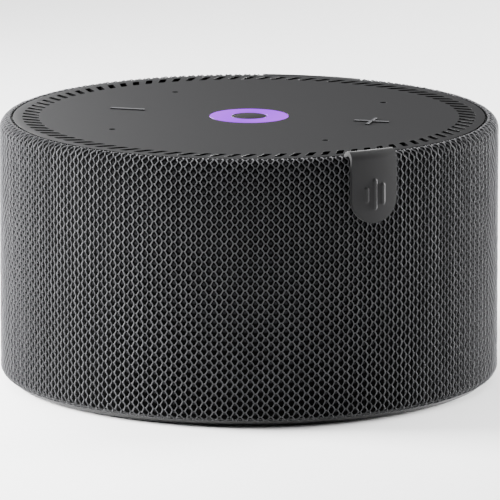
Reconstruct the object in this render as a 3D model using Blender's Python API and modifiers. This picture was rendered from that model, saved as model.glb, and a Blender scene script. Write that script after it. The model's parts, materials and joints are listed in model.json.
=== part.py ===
"""A round, fabric-wrapped smart home hub, modelled as the assembly that it comes apart into.

Metres, +Z up. The origin is the middle of the foot's underside. The front faces -Y, the rear panel
with the power port and the mute button faces +Y, and the plus sign of the touch top lies on +X.
Angles around the body are in degrees from the front, growing towards +X.
"""

import math

import bmesh
import bpy
from mathutils import Matrix, Vector

# ---------------------------------------------------------------- driving dimensions
OUTER_RADIUS = 0.0490  # over the fabric
BODY_HEIGHT = 0.0520  # floor to the crest of the fabric rim
FIT_GAP = 0.0003  # between pieces that touch or fit
FABRIC_THICKNESS = 0.0008
RIM_WIDTH = 0.0023  # fabric border round the touch top, and its corner radius
FOOT_CORNER = 0.0020  # fabric corner radius at the bottom
HEM_ANGLE = 80.0  # how far the fabric wraps round the bottom corner

SHELL_WALL = 0.0016
LEDGE_WIDTH = 0.0014  # inner ledge that carries the top panel
LEDGE_HEIGHT = 0.0014

TOP_THICKNESS = 0.0019
TOP_SINK = 0.0001  # top panel below the rim's crest
TOP_EDGE_BEVEL = 0.0003
SLOT_COUNT = 90
SLOT_WIDTH = 0.00115
SLOT_LENGTH = 0.0033  # measured along the radius
SLOT_BORDER = 0.0019  # from the panel's edge to the slots
SLOT_SLANT = 30.0  # outer ends lean clockwise, seen from above
SIGN_LENGTH = 0.0070
SIGN_WIDTH = 0.00065
SIGN_RISE = 0.0003
SIGN_INSET = 0.0215  # from the panel's edge to the middle of the plus and minus signs
MIC_INSET = 0.0160  # from the panel's edge to the microphone holes
MIC_HOLE_RADIUS = 0.00052
MIC_ANGLES = (45.0, 135.0, 225.0, 315.0)
LIGHT_RADIUS = 0.00775
CENTRE_RADIUS = 0.0036
LIGHT_FLANGE = 0.0015
LIGHT_FLOOR = 0.0010
STAKE_RADIUS = 0.0016
STAKE_INSET = 0.0130

BASE_STEP = 0.0013  # part of the base plate that the shell slides over
BASE_GROUND = 0.0003  # the foot stands this far below the base plate
BASE_THICKNESS = 0.0020  # above the foot
FOOT_THICKNESS = 0.0009
FOOT_BORDER = 0.0049  # from the base plate's edge to the foot
FOOT_BEVEL = 0.0004
BASE_BEVEL = 0.0005

PANEL_HALF_ANGLE = 12.55
PANEL_THICKNESS = 0.0023
WELL_WIDTH = 0.0130  # takes a plug's grip of up to 12.35 by 6.5 mm
WELL_HEIGHT = 0.0072
WELL_DEPTH = 0.0044
WELL_WALL = 0.0009
WELL_CORNER = 0.0015
PORT_WIDTH = 0.00894
PORT_HEIGHT = 0.00326
PORT_WALL = 0.0003
PORT_DEPTH = 0.0073
PORT_SET_BACK = 0.0001  # its mouth behind the well's floor
TONGUE_WIDTH = 0.00669
TONGUE_THICKNESS = 0.0007
TONGUE_LENGTH = 0.00445

BUTTON_HEIGHT = 0.0340  # above the floor
BUTTON_RADIUS = 0.0040
BUTTON_FLANGE = 0.0011
BUTTON_FLANGE_THICKNESS = 0.0010
BUTTON_TRAVEL = 0.0006
BUTTON_DISH = 0.0002  # its face is slightly hollow
BUTTON_BEVEL = 0.0004
PLUNGER_RADIUS = 0.0014
PLUNGER_LENGTH = 0.0018
SWITCH_SIZE = 0.0060
SWITCH_DEPTH = 0.0033
SWITCH_BORE_DEPTH = 0.0016
BOARD_PIN_RADIUS = 0.0009
BOARD_PIN_OFFSET = 0.0070
BUTTON_BOARD_BORDER = 0.0018

TAG_ANGLE = 44.6
TAG_WIDTH = 0.00975
TAG_LENGTH = 0.0140  # from the top of its bend to the round lower end
TAG_THICKNESS = 0.0009
TAG_RISE = 0.0013  # how far its bend stands above the rim
TAG_FLEX_GAP = 0.0004  # between the root and the free flap

BOARD_THICKNESS = 0.0012
TOP_BOARD_THICKNESS = 0.0010
MAIN_BOARD_RADIUS = 0.0330
MAIN_BOARD_HEIGHT = 0.0060
MAIN_BOARD_TONGUE = 0.0160
STANDOFF_RADIUS = 0.0020
STANDOFF_PIN_RADIUS = 0.0010
STANDOFF_CIRCLE = 0.0280
STANDOFF_ANGLES = (60.0, 180.0, 300.0)
TOP_BOARD_DROP = 0.0032  # from the top panel's underside to the board
TOP_BOARD_MARGIN = 0.0026  # keeps the board clear of the slots
MIC_SIZE = (0.0040, 0.0030, 0.0011)
MIC_BOOT_RADIUS = 0.0022
LED_SIZE = (0.0020, 0.0020, 0.0007)
LED_ANGLES = (0.0, 90.0, 180.0, 270.0)
TOUCH_PAD_SIZE = 0.0060
PROCESSOR_SIZE = (0.0140, 0.0140, 0.0012)
THERMAL_PAD_THICKNESS = 0.0009
SHIELD_SIZE = 0.0240
SHIELD_WALL = 0.0003
SPREADER_SIZE = 0.0300
SPREADER_THICKNESS = 0.0014
ANTENNA_SIZE = (0.0200, 0.0006, 0.0070)
ANTENNA_RISE = 0.0080
ANTENNA_ANGLE = 60.0
RIBBON_WIDTH = 0.0080
RIBBON_THICKNESS = 0.0003
RIBBON_BULGE = 0.0045
LEAD_RADIUS = 0.0006
LEAD_SPACING = 0.0040
LEAD_HOLE_CLEARANCE = 0.0005
LEAD_CIRCLE = 0.0280

CHAMBER_RADIUS = 0.0340
CHAMBER_WALL = 0.0016
LID_THICKNESS = 0.0017
LID_DROP = 0.0150  # from the rim's crest to the top of the lid
POST_RADIUS = 0.0026
POST_OFFSET = 0.0022
POST_ANGLES = (0.0, 120.0, 240.0)
BASE_SCREW_RADIUS = 0.0011
BASE_SCREW_HEAD_RADIUS = 0.0023
BASE_SCREW_HEAD_HEIGHT = 0.0008
BASE_SCREW_LENGTH = 0.0075
BASE_SCREW_DEPTH = 0.0001
DRIVER_SCREW_RADIUS = 0.0008
DRIVER_SCREW_HEAD_RADIUS = 0.0014
DRIVER_SCREW_HEAD_HEIGHT = 0.0008
DRIVER_SCREW_ANGLES = (45.0, 135.0, 225.0, 315.0)
DRIVER_SCREW_INSET = 0.0018  # from the flange's edge
SCREW_TIP = 0.6  # chamfer of a shank's tip, as a share of its radius
SCREW_CROWN = 0.8  # flat of a head's crown, as a share of its radius

FLANGE_RADIUS = 0.0270
FLANGE_THICKNESS = 0.0012
GASKET_THICKNESS = 0.0007
BASKET_RADIUS = 0.0209  # opening of the loudspeaker's basket
BASKET_WALL = 0.0011
BASKET_DEPTH = 0.0112
SPIDER_SHELF_DEPTH = 0.0083
SPIDER_RADIUS = 0.0166
HUB_MARGIN = 0.0014  # the basket's hub keeps this far outside the washer's bore
SHELF_WIDTH = 0.0020
WINDOW_COUNT = 6
WINDOW_WIDTH = 0.0070
WINDOW_RISE = 0.0012  # above the spider's shelf
CONE_RADIUS = 0.0164
CONE_DEPTH = 0.0060
CONE_THICKNESS = 0.0005
CONE_TRAVEL = 0.0020
SURROUND_THICKNESS = 0.0003
SURROUND_LIP = 0.0018
FORMER_RADIUS = 0.0066
FORMER_WALL = 0.0003
WINDING_THICKNESS = 0.0004
WINDING_LENGTH = 0.0050
FORMER_LENGTH = 0.0125
DUST_CAP_RADIUS = 0.0076
DUST_CAP_RISE = 0.0026
DUST_CAP_THICKNESS = 0.0004
SPIDER_THICKNESS = 0.0003
SPIDER_WAVE = 0.0007
SPIDER_STEPS = 6  # half waves and flats from its edge to the former
WASHER_THICKNESS = 0.0030
WASHER_RADIUS = 0.0135
MAGNET_THICKNESS = 0.0050
MAGNET_RADIUS = 0.0145
MAGNET_BORE = 0.0080
YOKE_THICKNESS = 0.0025
POLE_RADIUS = 0.0056

OUTER_SEGMENTS = 48
DRIVER_SEGMENTS = 24
LIGHT_SEGMENTS = 32
SMALL_SEGMENTS = 10
CORNER_STEPS = 2
ROLL_STEPS = 4
ROLL_EDGE = 15.0  # the roll's outside starts this far above its lips
MERGE_DISTANCE = 0.000001
OVERCUT = 0.0010  # how far a cutter runs past the faces that it cuts

# ---------------------------------------------------------------- levels and radii that follow
RIM_RADIUS = OUTER_RADIUS - RIM_WIDTH
RIM_CORNER_HEIGHT = BODY_HEIGHT - RIM_WIDTH
HEM_CENTRE_RADIUS = OUTER_RADIUS - FOOT_CORNER
HEM_DROP = math.sin(math.radians(HEM_ANGLE))
SHELL_RADIUS = OUTER_RADIUS - FABRIC_THICKNESS - FIT_GAP
SHELL_INNER = SHELL_RADIUS - SHELL_WALL
SHELL_CORNER = FOOT_CORNER - FABRIC_THICKNESS - FIT_GAP
HEM_END_RADIUS = HEM_CENTRE_RADIUS + (FOOT_CORNER - FABRIC_THICKNESS) * math.cos(math.radians(HEM_ANGLE))
FOOT_RECESS_TOP = FOOT_THICKNESS + FIT_GAP
BASE_HEIGHT = FOOT_RECESS_TOP + BASE_THICKNESS  # top of the base plate
BASE_FLANGE_TOP = BASE_HEIGHT - BASE_STEP
SHELL_BOTTOM = BASE_FLANGE_TOP + FIT_GAP
HEM_CENTRE_HEIGHT = SHELL_BOTTOM + SHELL_CORNER * HEM_DROP
BASE_RADIUS = HEM_END_RADIUS - FIT_GAP
BASE_STEP_RADIUS = SHELL_INNER - FIT_GAP
FOOT_RADIUS = BASE_RADIUS - FOOT_BORDER

TOP_RADIUS = RIM_RADIUS - FIT_GAP
TOP_SURFACE = BODY_HEIGHT - TOP_SINK
TOP_UNDERSIDE = TOP_SURFACE - TOP_THICKNESS
LEDGE_TOP = TOP_UNDERSIDE - FIT_GAP
TOP_BOARD_TOP = TOP_UNDERSIDE - TOP_BOARD_DROP
TOP_BOARD_BOTTOM = TOP_BOARD_TOP - TOP_BOARD_THICKNESS
TOP_BOARD_RADIUS = TOP_RADIUS - SLOT_BORDER - SLOT_LENGTH - TOP_BOARD_MARGIN
SLOT_RADIUS = TOP_RADIUS - SLOT_BORDER - SLOT_LENGTH / 2
LIGHT_FLANGE_TOP = TOP_UNDERSIDE - FIT_GAP
LIGHT_BOTTOM = TOP_BOARD_TOP + 2 * FIT_GAP + LED_SIZE[2]
STAKE_CIRCLE = TOP_RADIUS - STAKE_INSET
MIC_CIRCLE = TOP_RADIUS - MIC_INSET
SIGN_CIRCLE = TOP_RADIUS - SIGN_INSET

PANEL_INNER = RIM_RADIUS
REAR_GAP_START = SHELL_INNER - LEDGE_WIDTH - OVERCUT
MAIN_BOARD_TOP = MAIN_BOARD_HEIGHT + BOARD_THICKNESS
BOARD_SEAT = MAIN_BOARD_HEIGHT - FIT_GAP
BASE_SCREW_HEAD_TOP = FOOT_RECESS_TOP + BASE_SCREW_DEPTH + BASE_SCREW_HEAD_HEIGHT
PORT_LEVEL = MAIN_BOARD_TOP + FIT_GAP + PORT_HEIGHT / 2
WELL_FLOOR = OUTER_RADIUS - WELL_DEPTH
PORT_MOUTH = WELL_FLOOR - PORT_SET_BACK
BUTTON_FLANGE_FACE = math.sqrt(PANEL_INNER**2 - (BUTTON_RADIUS + BUTTON_FLANGE) ** 2) - FIT_GAP
BUTTON_BACK = BUTTON_FLANGE_FACE - BUTTON_FLANGE_THICKNESS
PLUNGER_FRONT = BUTTON_BACK - FIT_GAP
SWITCH_FRONT = PLUNGER_FRONT - PLUNGER_LENGTH + FIT_GAP
SWITCH_BACK = SWITCH_FRONT - SWITCH_DEPTH
BUTTON_BOARD_FRONT = SWITCH_BACK - FIT_GAP
BUTTON_BOARD_BACK = BUTTON_BOARD_FRONT - TOP_BOARD_THICKNESS

LID_TOP = BODY_HEIGHT - LID_DROP
LID_BOTTOM = LID_TOP - LID_THICKNESS
CUP_TOP = LID_BOTTOM - FIT_GAP
SHIELD_TOP = MAIN_BOARD_TOP + 3 * FIT_GAP + PROCESSOR_SIZE[2] + THERMAL_PAD_THICKNESS + SHIELD_WALL
SPREADER_BOTTOM = SHIELD_TOP + FIT_GAP
CUP_BOTTOM = SPREADER_BOTTOM + SPREADER_THICKNESS + FIT_GAP
CUP_FLOOR = CUP_BOTTOM + CHAMBER_WALL
POST_CIRCLE = CHAMBER_RADIUS + POST_OFFSET
POST_BOTTOM = BASE_HEIGHT + FIT_GAP

GASKET_TOP = LID_TOP + FIT_GAP + GASKET_THICKNESS
FLANGE_BOTTOM = GASKET_TOP + FIT_GAP
FLANGE_TOP = FLANGE_BOTTOM + FLANGE_THICKNESS
SHELF_TOP = FLANGE_TOP - SPIDER_SHELF_DEPTH
HUB_TOP = FLANGE_TOP - BASKET_DEPTH
HUB_BOTTOM = HUB_TOP - BASKET_WALL
WASHER_BORE = FORMER_RADIUS + WINDING_THICKNESS + FIT_GAP
WASHER_TOP = HUB_BOTTOM - FIT_GAP
WASHER_BOTTOM = WASHER_TOP - WASHER_THICKNESS
MAGNET_TOP = WASHER_BOTTOM - FIT_GAP
MAGNET_BOTTOM = MAGNET_TOP - MAGNET_THICKNESS
YOKE_TOP = MAGNET_BOTTOM - FIT_GAP
YOKE_BOTTOM = YOKE_TOP - YOKE_THICKNESS
CONE_RIM = FLANGE_TOP
CONE_NECK = CONE_RIM - CONE_DEPTH
CONE_NECK_RADIUS = FORMER_RADIUS + FIT_GAP
CONE_SLOPE = (CONE_DEPTH - CONE_THICKNESS) / (CONE_RADIUS - CONE_NECK_RADIUS)
FORMER_TOP = CONE_NECK + CONE_THICKNESS
FORMER_BOTTOM = FORMER_TOP - FORMER_LENGTH
LIP_BOTTOM = FLANGE_TOP + FIT_GAP
DRIVER_SCREW_CIRCLE = FLANGE_RADIUS - DRIVER_SCREW_INSET

TAG_REAR = RIM_RADIUS + FIT_GAP / 2
TAG_FRONT = OUTER_RADIUS + FIT_GAP + TAG_THICKNESS
TAG_BEND = (TAG_FRONT - TAG_REAR) / 2
TAG_TOP = BODY_HEIGHT + TAG_RISE
TAG_CENTRE_HEIGHT = TAG_TOP - TAG_BEND
TAG_FOOT = RIM_CORNER_HEIGHT + RIM_WIDTH - FABRIC_THICKNESS

# ---------------------------------------------------------------- finishes: colour, roughness, metal
DARK_PLASTIC = ((0.045, 0.045, 0.047), 0.55, 0.0)
BLACK_PLASTIC = ((0.012, 0.012, 0.013), 0.50, 0.0)
GREY_FABRIC = ((0.100, 0.100, 0.105), 0.95, 0.0)
SOFT_RUBBER = ((0.020, 0.020, 0.021), 0.85, 0.0)
LIT_VIOLET = ((0.490, 0.262, 0.871), 0.40, 0.0)
SILICONE = ((0.060, 0.060, 0.063), 0.65, 0.0)
NICKEL = ((0.620, 0.600, 0.560), 0.30, 1.0)
STEEL = ((0.480, 0.480, 0.490), 0.35, 1.0)
ALUMINIUM = ((0.700, 0.705, 0.710), 0.40, 1.0)
COPPER = ((0.720, 0.330, 0.160), 0.35, 1.0)
FERRITE = ((0.060, 0.057, 0.055), 0.60, 0.0)
PAPER = ((0.030, 0.029, 0.028), 0.85, 0.0)
YELLOW_CLOTH = ((0.560, 0.380, 0.120), 0.90, 0.0)
CIRCUIT_GREEN = ((0.015, 0.110, 0.045), 0.45, 0.0)
CHIP_BLACK = ((0.015, 0.015, 0.016), 0.40, 0.0)
LED_WHITE = ((0.850, 0.840, 0.780), 0.35, 0.0)
FOAM = ((0.080, 0.080, 0.085), 0.95, 0.0)
THERMAL_GREY = ((0.330, 0.360, 0.420), 0.90, 0.0)
RIBBON_WHITE = ((0.780, 0.780, 0.760), 0.45, 0.0)
WIRE_RED = ((0.550, 0.020, 0.018), 0.45, 0.0)
WIRE_BLACK = ((0.010, 0.010, 0.010), 0.45, 0.0)

PARTS = "smart_home_hub"
CUTTERS = "cutters"


# ---------------------------------------------------------------- helpers
def start_empty():
    """Empty the scene and make the two collections."""
    for old in list(bpy.data.objects):
        bpy.data.objects.remove(old)
    for name in (PARTS, CUTTERS):
        bpy.context.scene.collection.children.link(bpy.data.collections.new(name))


def around(radius, angle, height=0.0):
    """The point at an angle from the front, at a radius and a height."""
    turn = math.radians(angle)
    return Vector((radius * math.sin(turn), -radius * math.cos(turn), height))


def facing(angle):
    """The turn about Z that brings +X to point away from the axis at an angle from the front."""
    return Matrix.Rotation(math.radians(angle - 90.0), 4, "Z")


def arc(centre, radius, start, end, steps=CORNER_STEPS):
    """Points on an arc of a profile; 0 degrees points outwards and 90 points up."""
    turns = (math.radians(start + (end - start) * i / steps) for i in range(steps + 1))
    return [(centre[0] + radius * math.cos(t), centre[1] + radius * math.sin(t)) for t in turns]


def block(low, high, matrix=Matrix.Identity(4)):
    """A box between two corners."""
    middle = (Vector(low) + Vector(high)) / 2
    size = Vector(high) - Vector(low)
    shape = matrix @ Matrix.Translation(middle) @ Matrix.Diagonal((*size, 1.0))
    return lambda bm: bmesh.ops.create_cube(bm, size=1.0, matrix=shape)


def rod(radius, start, end, segments=SMALL_SEGMENTS):
    """A cylinder between the centres of its two ends."""
    start, end = Vector(start), Vector(end)
    turn = (end - start).to_track_quat("Z", "Y").to_matrix().to_4x4()
    shape = Matrix.Translation((start + end) / 2) @ turn
    return lambda bm: bmesh.ops.create_cone(
        bm,
        cap_ends=True,
        segments=segments,
        radius1=radius,
        radius2=radius,
        depth=(end - start).length,
        matrix=shape,
    )


def solid(name, *shapes):
    """A mesh of one or more closed primitive shapes."""
    bm = bmesh.new()
    for shape in shapes:
        shape(bm)
    mesh = bpy.data.meshes.new(name)
    bm.to_mesh(mesh)
    bm.free()
    return mesh


def outline(name, points, low, high, matrix=Matrix.Identity(4)):
    """A mesh of a flat outline in XY, extruded from low to high along Z and then placed."""
    curve = bpy.data.curves.new(name, "CURVE")
    curve.dimensions = "2D"
    curve.fill_mode = "BOTH"
    curve.extrude = (high - low) / 2
    spline = curve.splines.new("POLY")
    spline.points.add(len(points) - 1)
    for point, (x, y) in zip(spline.points, points):
        point.co = (x, y, 0.0, 1.0)
    spline.use_cyclic_u = True
    guide = bpy.data.objects.new(name + "_outline", curve)
    bpy.data.collections[CUTTERS].objects.link(guide)
    mesh = bpy.data.meshes.new_from_object(guide.evaluated_get(bpy.context.evaluated_depsgraph_get()))
    bpy.data.objects.remove(guide)
    bm = bmesh.new()
    bm.from_mesh(mesh)
    bmesh.ops.remove_doubles(bm, verts=bm.verts, dist=MERGE_DISTANCE)
    bmesh.ops.transform(bm, matrix=matrix @ Matrix.Translation((0, 0, (low + high) / 2)), verts=bm.verts)
    bmesh.ops.recalc_face_normals(bm, faces=bm.faces)
    bm.to_mesh(mesh)
    bm.free()
    mesh.name = name
    return mesh


def profile_mesh(name, points):
    """The edges of a turned piece's profile: (radius, height), down its outer side."""
    mesh = bpy.data.meshes.new(name)
    edges = [(i, i + 1) for i in range(len(points) - 1)]
    on_axis = points[0][0] == 0.0 and points[-1][0] == 0.0
    if not on_axis:
        edges.append((len(points) - 1, 0))
    mesh.from_pydata([(radius, 0.0, height) for radius, height in points], edges, [])
    return mesh


def turn(piece, segments):
    """Turn a profile about Z."""
    screw = piece.modifiers.new("Turn", "SCREW")
    screw.axis = "Z"
    screw.angle = 2 * math.pi
    screw.steps = screw.render_steps = segments
    screw.use_merge_vertices = True
    screw.merge_threshold = MERGE_DISTANCE
    screw.use_smooth_shade = True


def add_part(name, mesh, finish, matrix=Matrix.Identity(4)):
    """Add one piece, with its own material."""
    piece = bpy.data.objects.new(name, mesh)
    piece.matrix_world = matrix
    bpy.data.collections[PARTS].objects.link(piece)
    if not mesh.materials:
        mesh.materials.append(make_material(name, *finish))
    return piece


def add_turned(name, points, finish, segments, matrix=Matrix.Identity(4)):
    """Add one turned piece."""
    piece = add_part(name, profile_mesh(name, points), finish, matrix)
    turn(piece, segments)
    return piece


def make_material(name, colour, roughness, metallic):
    """A Principled material."""
    material = bpy.data.materials.new(name + "_finish")
    material.use_nodes = True
    shader = material.node_tree.nodes["Principled BSDF"]
    shader.inputs["Base Color"].default_value = (*colour, 1.0)
    shader.inputs["Roughness"].default_value = roughness
    shader.inputs["Metallic"].default_value = metallic
    material.diffuse_color = (*colour, 1.0)
    return material


def add_cutter(mesh, matrix=Matrix.Identity(4)):
    """Add a shape that only cuts or joins."""
    cutter = bpy.data.objects.new(mesh.name + "_cutter", mesh)
    cutter.matrix_world = matrix
    cutter.hide_render = True
    cutter.display_type = "WIRE"
    bpy.data.collections[CUTTERS].objects.link(cutter)
    return cutter


def combine(piece, tool, operation):
    """Cut, join or keep a piece with a tool shape: DIFFERENCE, UNION or INTERSECT."""
    step = piece.modifiers.new(tool.name, "BOOLEAN")
    step.operation = operation
    step.solver = "EXACT"
    step.object = tool


def stadium(width, height, steps=5):
    """A flat outline with round ends, centred, wider than it is high."""
    radius = height / 2
    reach = width / 2 - radius
    right = [(reach + x, y) for x, y in arc((0, 0), radius, -90, 90, steps)]
    left = [(-reach + x, y) for x, y in arc((0, 0), radius, 90, 270, steps)]
    return right + left


def rounded_rectangle(width, height, radius):
    """A centred rectangle with round corners."""
    x, y = width / 2 - radius, height / 2 - radius
    corners = ((x, y, 0), (-x, y, 90), (-x, -y, 180), (x, -y, 270))
    return [p for cx, cy, start in corners for p in arc((cx, cy), radius, start, start + 90)]


def sector(inner, outer, middle, half_angle, steps=6):
    """The outline of a piece of a ring, around an angle from the front."""
    turns = [middle - half_angle + 2 * half_angle * i / steps for i in range(steps + 1)]
    far = [around(outer, angle) for angle in turns]
    near = [around(inner, angle) for angle in reversed(turns)]
    return [(point.x, point.y) for point in far + near]


def rearward(height):
    """Stands an XY outline up at a height, facing the rear; its own Z then runs along -Y."""
    return Matrix.Translation((0, 0, height)) @ Matrix.Rotation(math.radians(90), 4, "X")


# ---------------------------------------------------------------- outer pieces
def outer_profile(radius_end, corner, level_end, hem_radius):
    """The body's outer surface from the rim's crest round the corner, down the side to the hem."""
    top = arc((radius_end, RIM_CORNER_HEIGHT), corner, 90, 0, CORNER_STEPS + 1)
    hem = arc((HEM_CENTRE_RADIUS, level_end), hem_radius, 0, -HEM_ANGLE)
    return top + hem


def make_fabric_sleeve():
    """The fabric round the side, folded over the rim and under the bottom edge."""
    outside = outer_profile(RIM_RADIUS, RIM_WIDTH, HEM_CENTRE_HEIGHT, FOOT_CORNER)
    inside = outer_profile(
        RIM_RADIUS, RIM_WIDTH - FABRIC_THICKNESS, HEM_CENTRE_HEIGHT, FOOT_CORNER - FABRIC_THICKNESS
    )
    sleeve = add_turned("fabric_sleeve", outside + inside[::-1], GREY_FABRIC, OUTER_SEGMENTS)
    combine(sleeve, rear_gap_cutter("fabric_rear_gap"), "DIFFERENCE")
    half = TAG_WIDTH / 2 + FIT_GAP
    notch = solid(
        "tag_notch",
        block(
            (RIM_RADIUS - RIM_WIDTH, -half, RIM_CORNER_HEIGHT),
            (TAG_REAR + TAG_THICKNESS + FIT_GAP, half, BODY_HEIGHT + OVERCUT),
        ),
    )
    combine(sleeve, add_cutter(notch, facing(TAG_ANGLE)), "DIFFERENCE")


def rear_gap_cutter(name):
    """Opens the fabric or the shell for the rear panel and its clearance."""
    half = PANEL_HALF_ANGLE + math.degrees(FIT_GAP / PANEL_INNER)
    points = sector(REAR_GAP_START, OUTER_RADIUS + OVERCUT, 180, half)
    return add_cutter(outline(name, points, -OVERCUT, BODY_HEIGHT + OVERCUT))


def make_side_shell():
    """The moulded wall behind the fabric, with the ledge that carries the top panel."""
    corner = RIM_WIDTH - FABRIC_THICKNESS - FIT_GAP
    outside = outer_profile(RIM_RADIUS, corner, HEM_CENTRE_HEIGHT, SHELL_CORNER)
    ledge = SHELL_INNER - LEDGE_WIDTH
    inside = [
        (SHELL_INNER, SHELL_BOTTOM),
        (SHELL_INNER, LEDGE_TOP - LEDGE_HEIGHT - LEDGE_WIDTH),
        (ledge, LEDGE_TOP - LEDGE_HEIGHT),
        (ledge, LEDGE_TOP),
        (RIM_RADIUS, LEDGE_TOP),
    ]
    shell = add_turned("side_shell", outside + inside, BLACK_PLASTIC, OUTER_SEGMENTS)
    combine(shell, rear_gap_cutter("shell_rear_gap"), "DIFFERENCE")


def slot_shape(angle):
    """One slanted sound slot through the top panel."""
    slant = math.radians(SLOT_SLANT)
    shear = Matrix.Identity(4)
    shear[1][0] = -math.tan(slant)
    size = (SLOT_LENGTH, SLOT_WIDTH / math.cos(slant), TOP_THICKNESS + 2 * OVERCUT, 1.0)
    place = Matrix.Translation((SLOT_RADIUS, 0, TOP_SURFACE - TOP_THICKNESS / 2))
    shape = facing(angle) @ place @ shear @ Matrix.Diagonal(size)
    return lambda bm: bmesh.ops.create_cube(bm, size=1.0, matrix=shape)


def sign_mesh(name, x, has_upright):
    """The raised minus sign, or the plus with its upright, rooted in the panel."""
    arm, half = SIGN_LENGTH / 2, SIGN_WIDTH / 2
    quarter = [(arm, -half), (arm, half)]
    if has_upright:
        quarter.append((half, half))
    points = []
    for angle in (0, 90, 180, 270) if has_upright else (0, 180):
        quarter_turn = Matrix.Rotation(math.radians(angle), 2)
        points += [tuple(quarter_turn @ Vector(point)) for point in quarter]
    root = TOP_SURFACE - TOP_THICKNESS / 2
    return outline(name, points, root, TOP_SURFACE + SIGN_RISE, Matrix.Translation((x, 0, 0)))


def make_top_panel():
    """The touch top: slots round its edge, microphone holes, raised signs, stakes below."""
    points = [
        (0.0, TOP_SURFACE),
        (TOP_RADIUS - TOP_EDGE_BEVEL, TOP_SURFACE),
        (TOP_RADIUS, TOP_SURFACE - TOP_EDGE_BEVEL),
        (TOP_RADIUS, TOP_UNDERSIDE),
        (0.0, TOP_UNDERSIDE),
    ]
    panel = add_turned("top_panel", points, DARK_PLASTIC, OUTER_SEGMENTS)
    stakes = [
        rod(
            STAKE_RADIUS,
            around(STAKE_CIRCLE, angle, TOP_BOARD_BOTTOM + FIT_GAP),
            around(STAKE_CIRCLE, angle, TOP_UNDERSIDE + TOP_THICKNESS / 2),
        )
        for angle in LED_ANGLES
    ]
    combine(panel, add_cutter(solid("board_stakes", *stakes)), "UNION")
    slots = [slot_shape(360.0 * i / SLOT_COUNT) for i in range(SLOT_COUNT)]
    low, high = TOP_UNDERSIDE - OVERCUT, TOP_SURFACE + OVERCUT
    holes = [
        rod(MIC_HOLE_RADIUS, around(MIC_CIRCLE, a, low), around(MIC_CIRCLE, a, high), 8)
        for a in MIC_ANGLES
    ]
    light = rod(LIGHT_RADIUS + FIT_GAP, (0, 0, low), (0, 0, high), LIGHT_SEGMENTS)
    combine(panel, add_cutter(solid("top_openings", light, *holes, *slots)), "DIFFERENCE")
    combine(panel, add_cutter(sign_mesh("minus_sign", -SIGN_CIRCLE, False)), "UNION")
    combine(panel, add_cutter(sign_mesh("plus_sign", SIGN_CIRCLE, True)), "UNION")


def make_light():
    """The light guide in the middle of the top, and the plain cap inside its ring."""
    flange = LIGHT_RADIUS + LIGHT_FLANGE
    inner = CENTRE_RADIUS + FIT_GAP
    points = [
        (inner, TOP_SURFACE),
        (LIGHT_RADIUS, TOP_SURFACE),
        (LIGHT_RADIUS, LIGHT_FLANGE_TOP),
        (flange, LIGHT_FLANGE_TOP),
        (flange, LIGHT_BOTTOM),
        (0.0, LIGHT_BOTTOM),
    ]
    floor = [(0.0, LIGHT_BOTTOM + LIGHT_FLOOR), (inner, LIGHT_BOTTOM + LIGHT_FLOOR)]
    add_turned("light_ring", floor + points, LIT_VIOLET, LIGHT_SEGMENTS)
    low = LIGHT_BOTTOM + LIGHT_FLOOR + FIT_GAP
    cap = [(0.0, TOP_SURFACE), (CENTRE_RADIUS, TOP_SURFACE), (CENTRE_RADIUS, low), (0.0, low)]
    add_turned("centre_cap", cap, DARK_PLASTIC, LIGHT_SEGMENTS)


def make_base_plate():
    """The bottom cover, with a recess for the foot, screw holes and the main board's standoffs."""
    points = [
        (0.0, BASE_HEIGHT),
        (BASE_STEP_RADIUS, BASE_HEIGHT),
        (BASE_STEP_RADIUS, BASE_FLANGE_TOP),
        (BASE_RADIUS, BASE_FLANGE_TOP),
        (BASE_RADIUS, BASE_GROUND + BASE_BEVEL),
        (BASE_RADIUS - BASE_BEVEL, BASE_GROUND),
        (FOOT_RADIUS + FIT_GAP, BASE_GROUND),
        (FOOT_RADIUS + FIT_GAP, FOOT_RECESS_TOP),
        (0.0, FOOT_RECESS_TOP),
    ]
    plate = add_turned("base_plate", points, BLACK_PLASTIC, OUTER_SEGMENTS)
    middle = (BASE_HEIGHT + FOOT_RECESS_TOP) / 2
    standoffs = [
        rod(STANDOFF_RADIUS, around(STANDOFF_CIRCLE, a, middle), around(STANDOFF_CIRCLE, a, BOARD_SEAT))
        for a in STANDOFF_ANGLES
    ]
    pins = [
        rod(
            STANDOFF_PIN_RADIUS,
            around(STANDOFF_CIRCLE, a, middle),
            around(STANDOFF_CIRCLE, a, MAIN_BOARD_TOP + FIT_GAP),
        )
        for a in STANDOFF_ANGLES
    ]
    combine(plate, add_cutter(solid("standoffs", *standoffs)), "UNION")
    combine(plate, add_cutter(solid("standoff_pins", *pins)), "UNION")
    counterbores = [
        rod(
            BASE_SCREW_HEAD_RADIUS + FIT_GAP,
            around(POST_CIRCLE, a, FOOT_RECESS_TOP - OVERCUT),
            around(POST_CIRCLE, a, BASE_SCREW_HEAD_TOP + FIT_GAP),
        )
        for a in POST_ANGLES
    ]
    holes = [
        rod(
            BASE_SCREW_RADIUS + FIT_GAP,
            around(POST_CIRCLE, a, FOOT_RECESS_TOP - OVERCUT),
            around(POST_CIRCLE, a, BASE_HEIGHT + OVERCUT),
        )
        for a in POST_ANGLES
    ]
    combine(plate, add_cutter(solid("base_counterbores", *counterbores)), "DIFFERENCE")
    combine(plate, add_cutter(solid("base_screw_holes", *holes)), "DIFFERENCE")


def make_foot_pad():
    """The soft round foot in the base plate's recess."""
    points = [
        (0.0, FOOT_THICKNESS),
        (FOOT_RADIUS, FOOT_THICKNESS),
        (FOOT_RADIUS, FOOT_BEVEL),
        (FOOT_RADIUS - FOOT_BEVEL, 0.0),
        (0.0, 0.0),
    ]
    add_turned("foot_pad", points, SOFT_RUBBER, OUTER_SEGMENTS)


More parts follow.
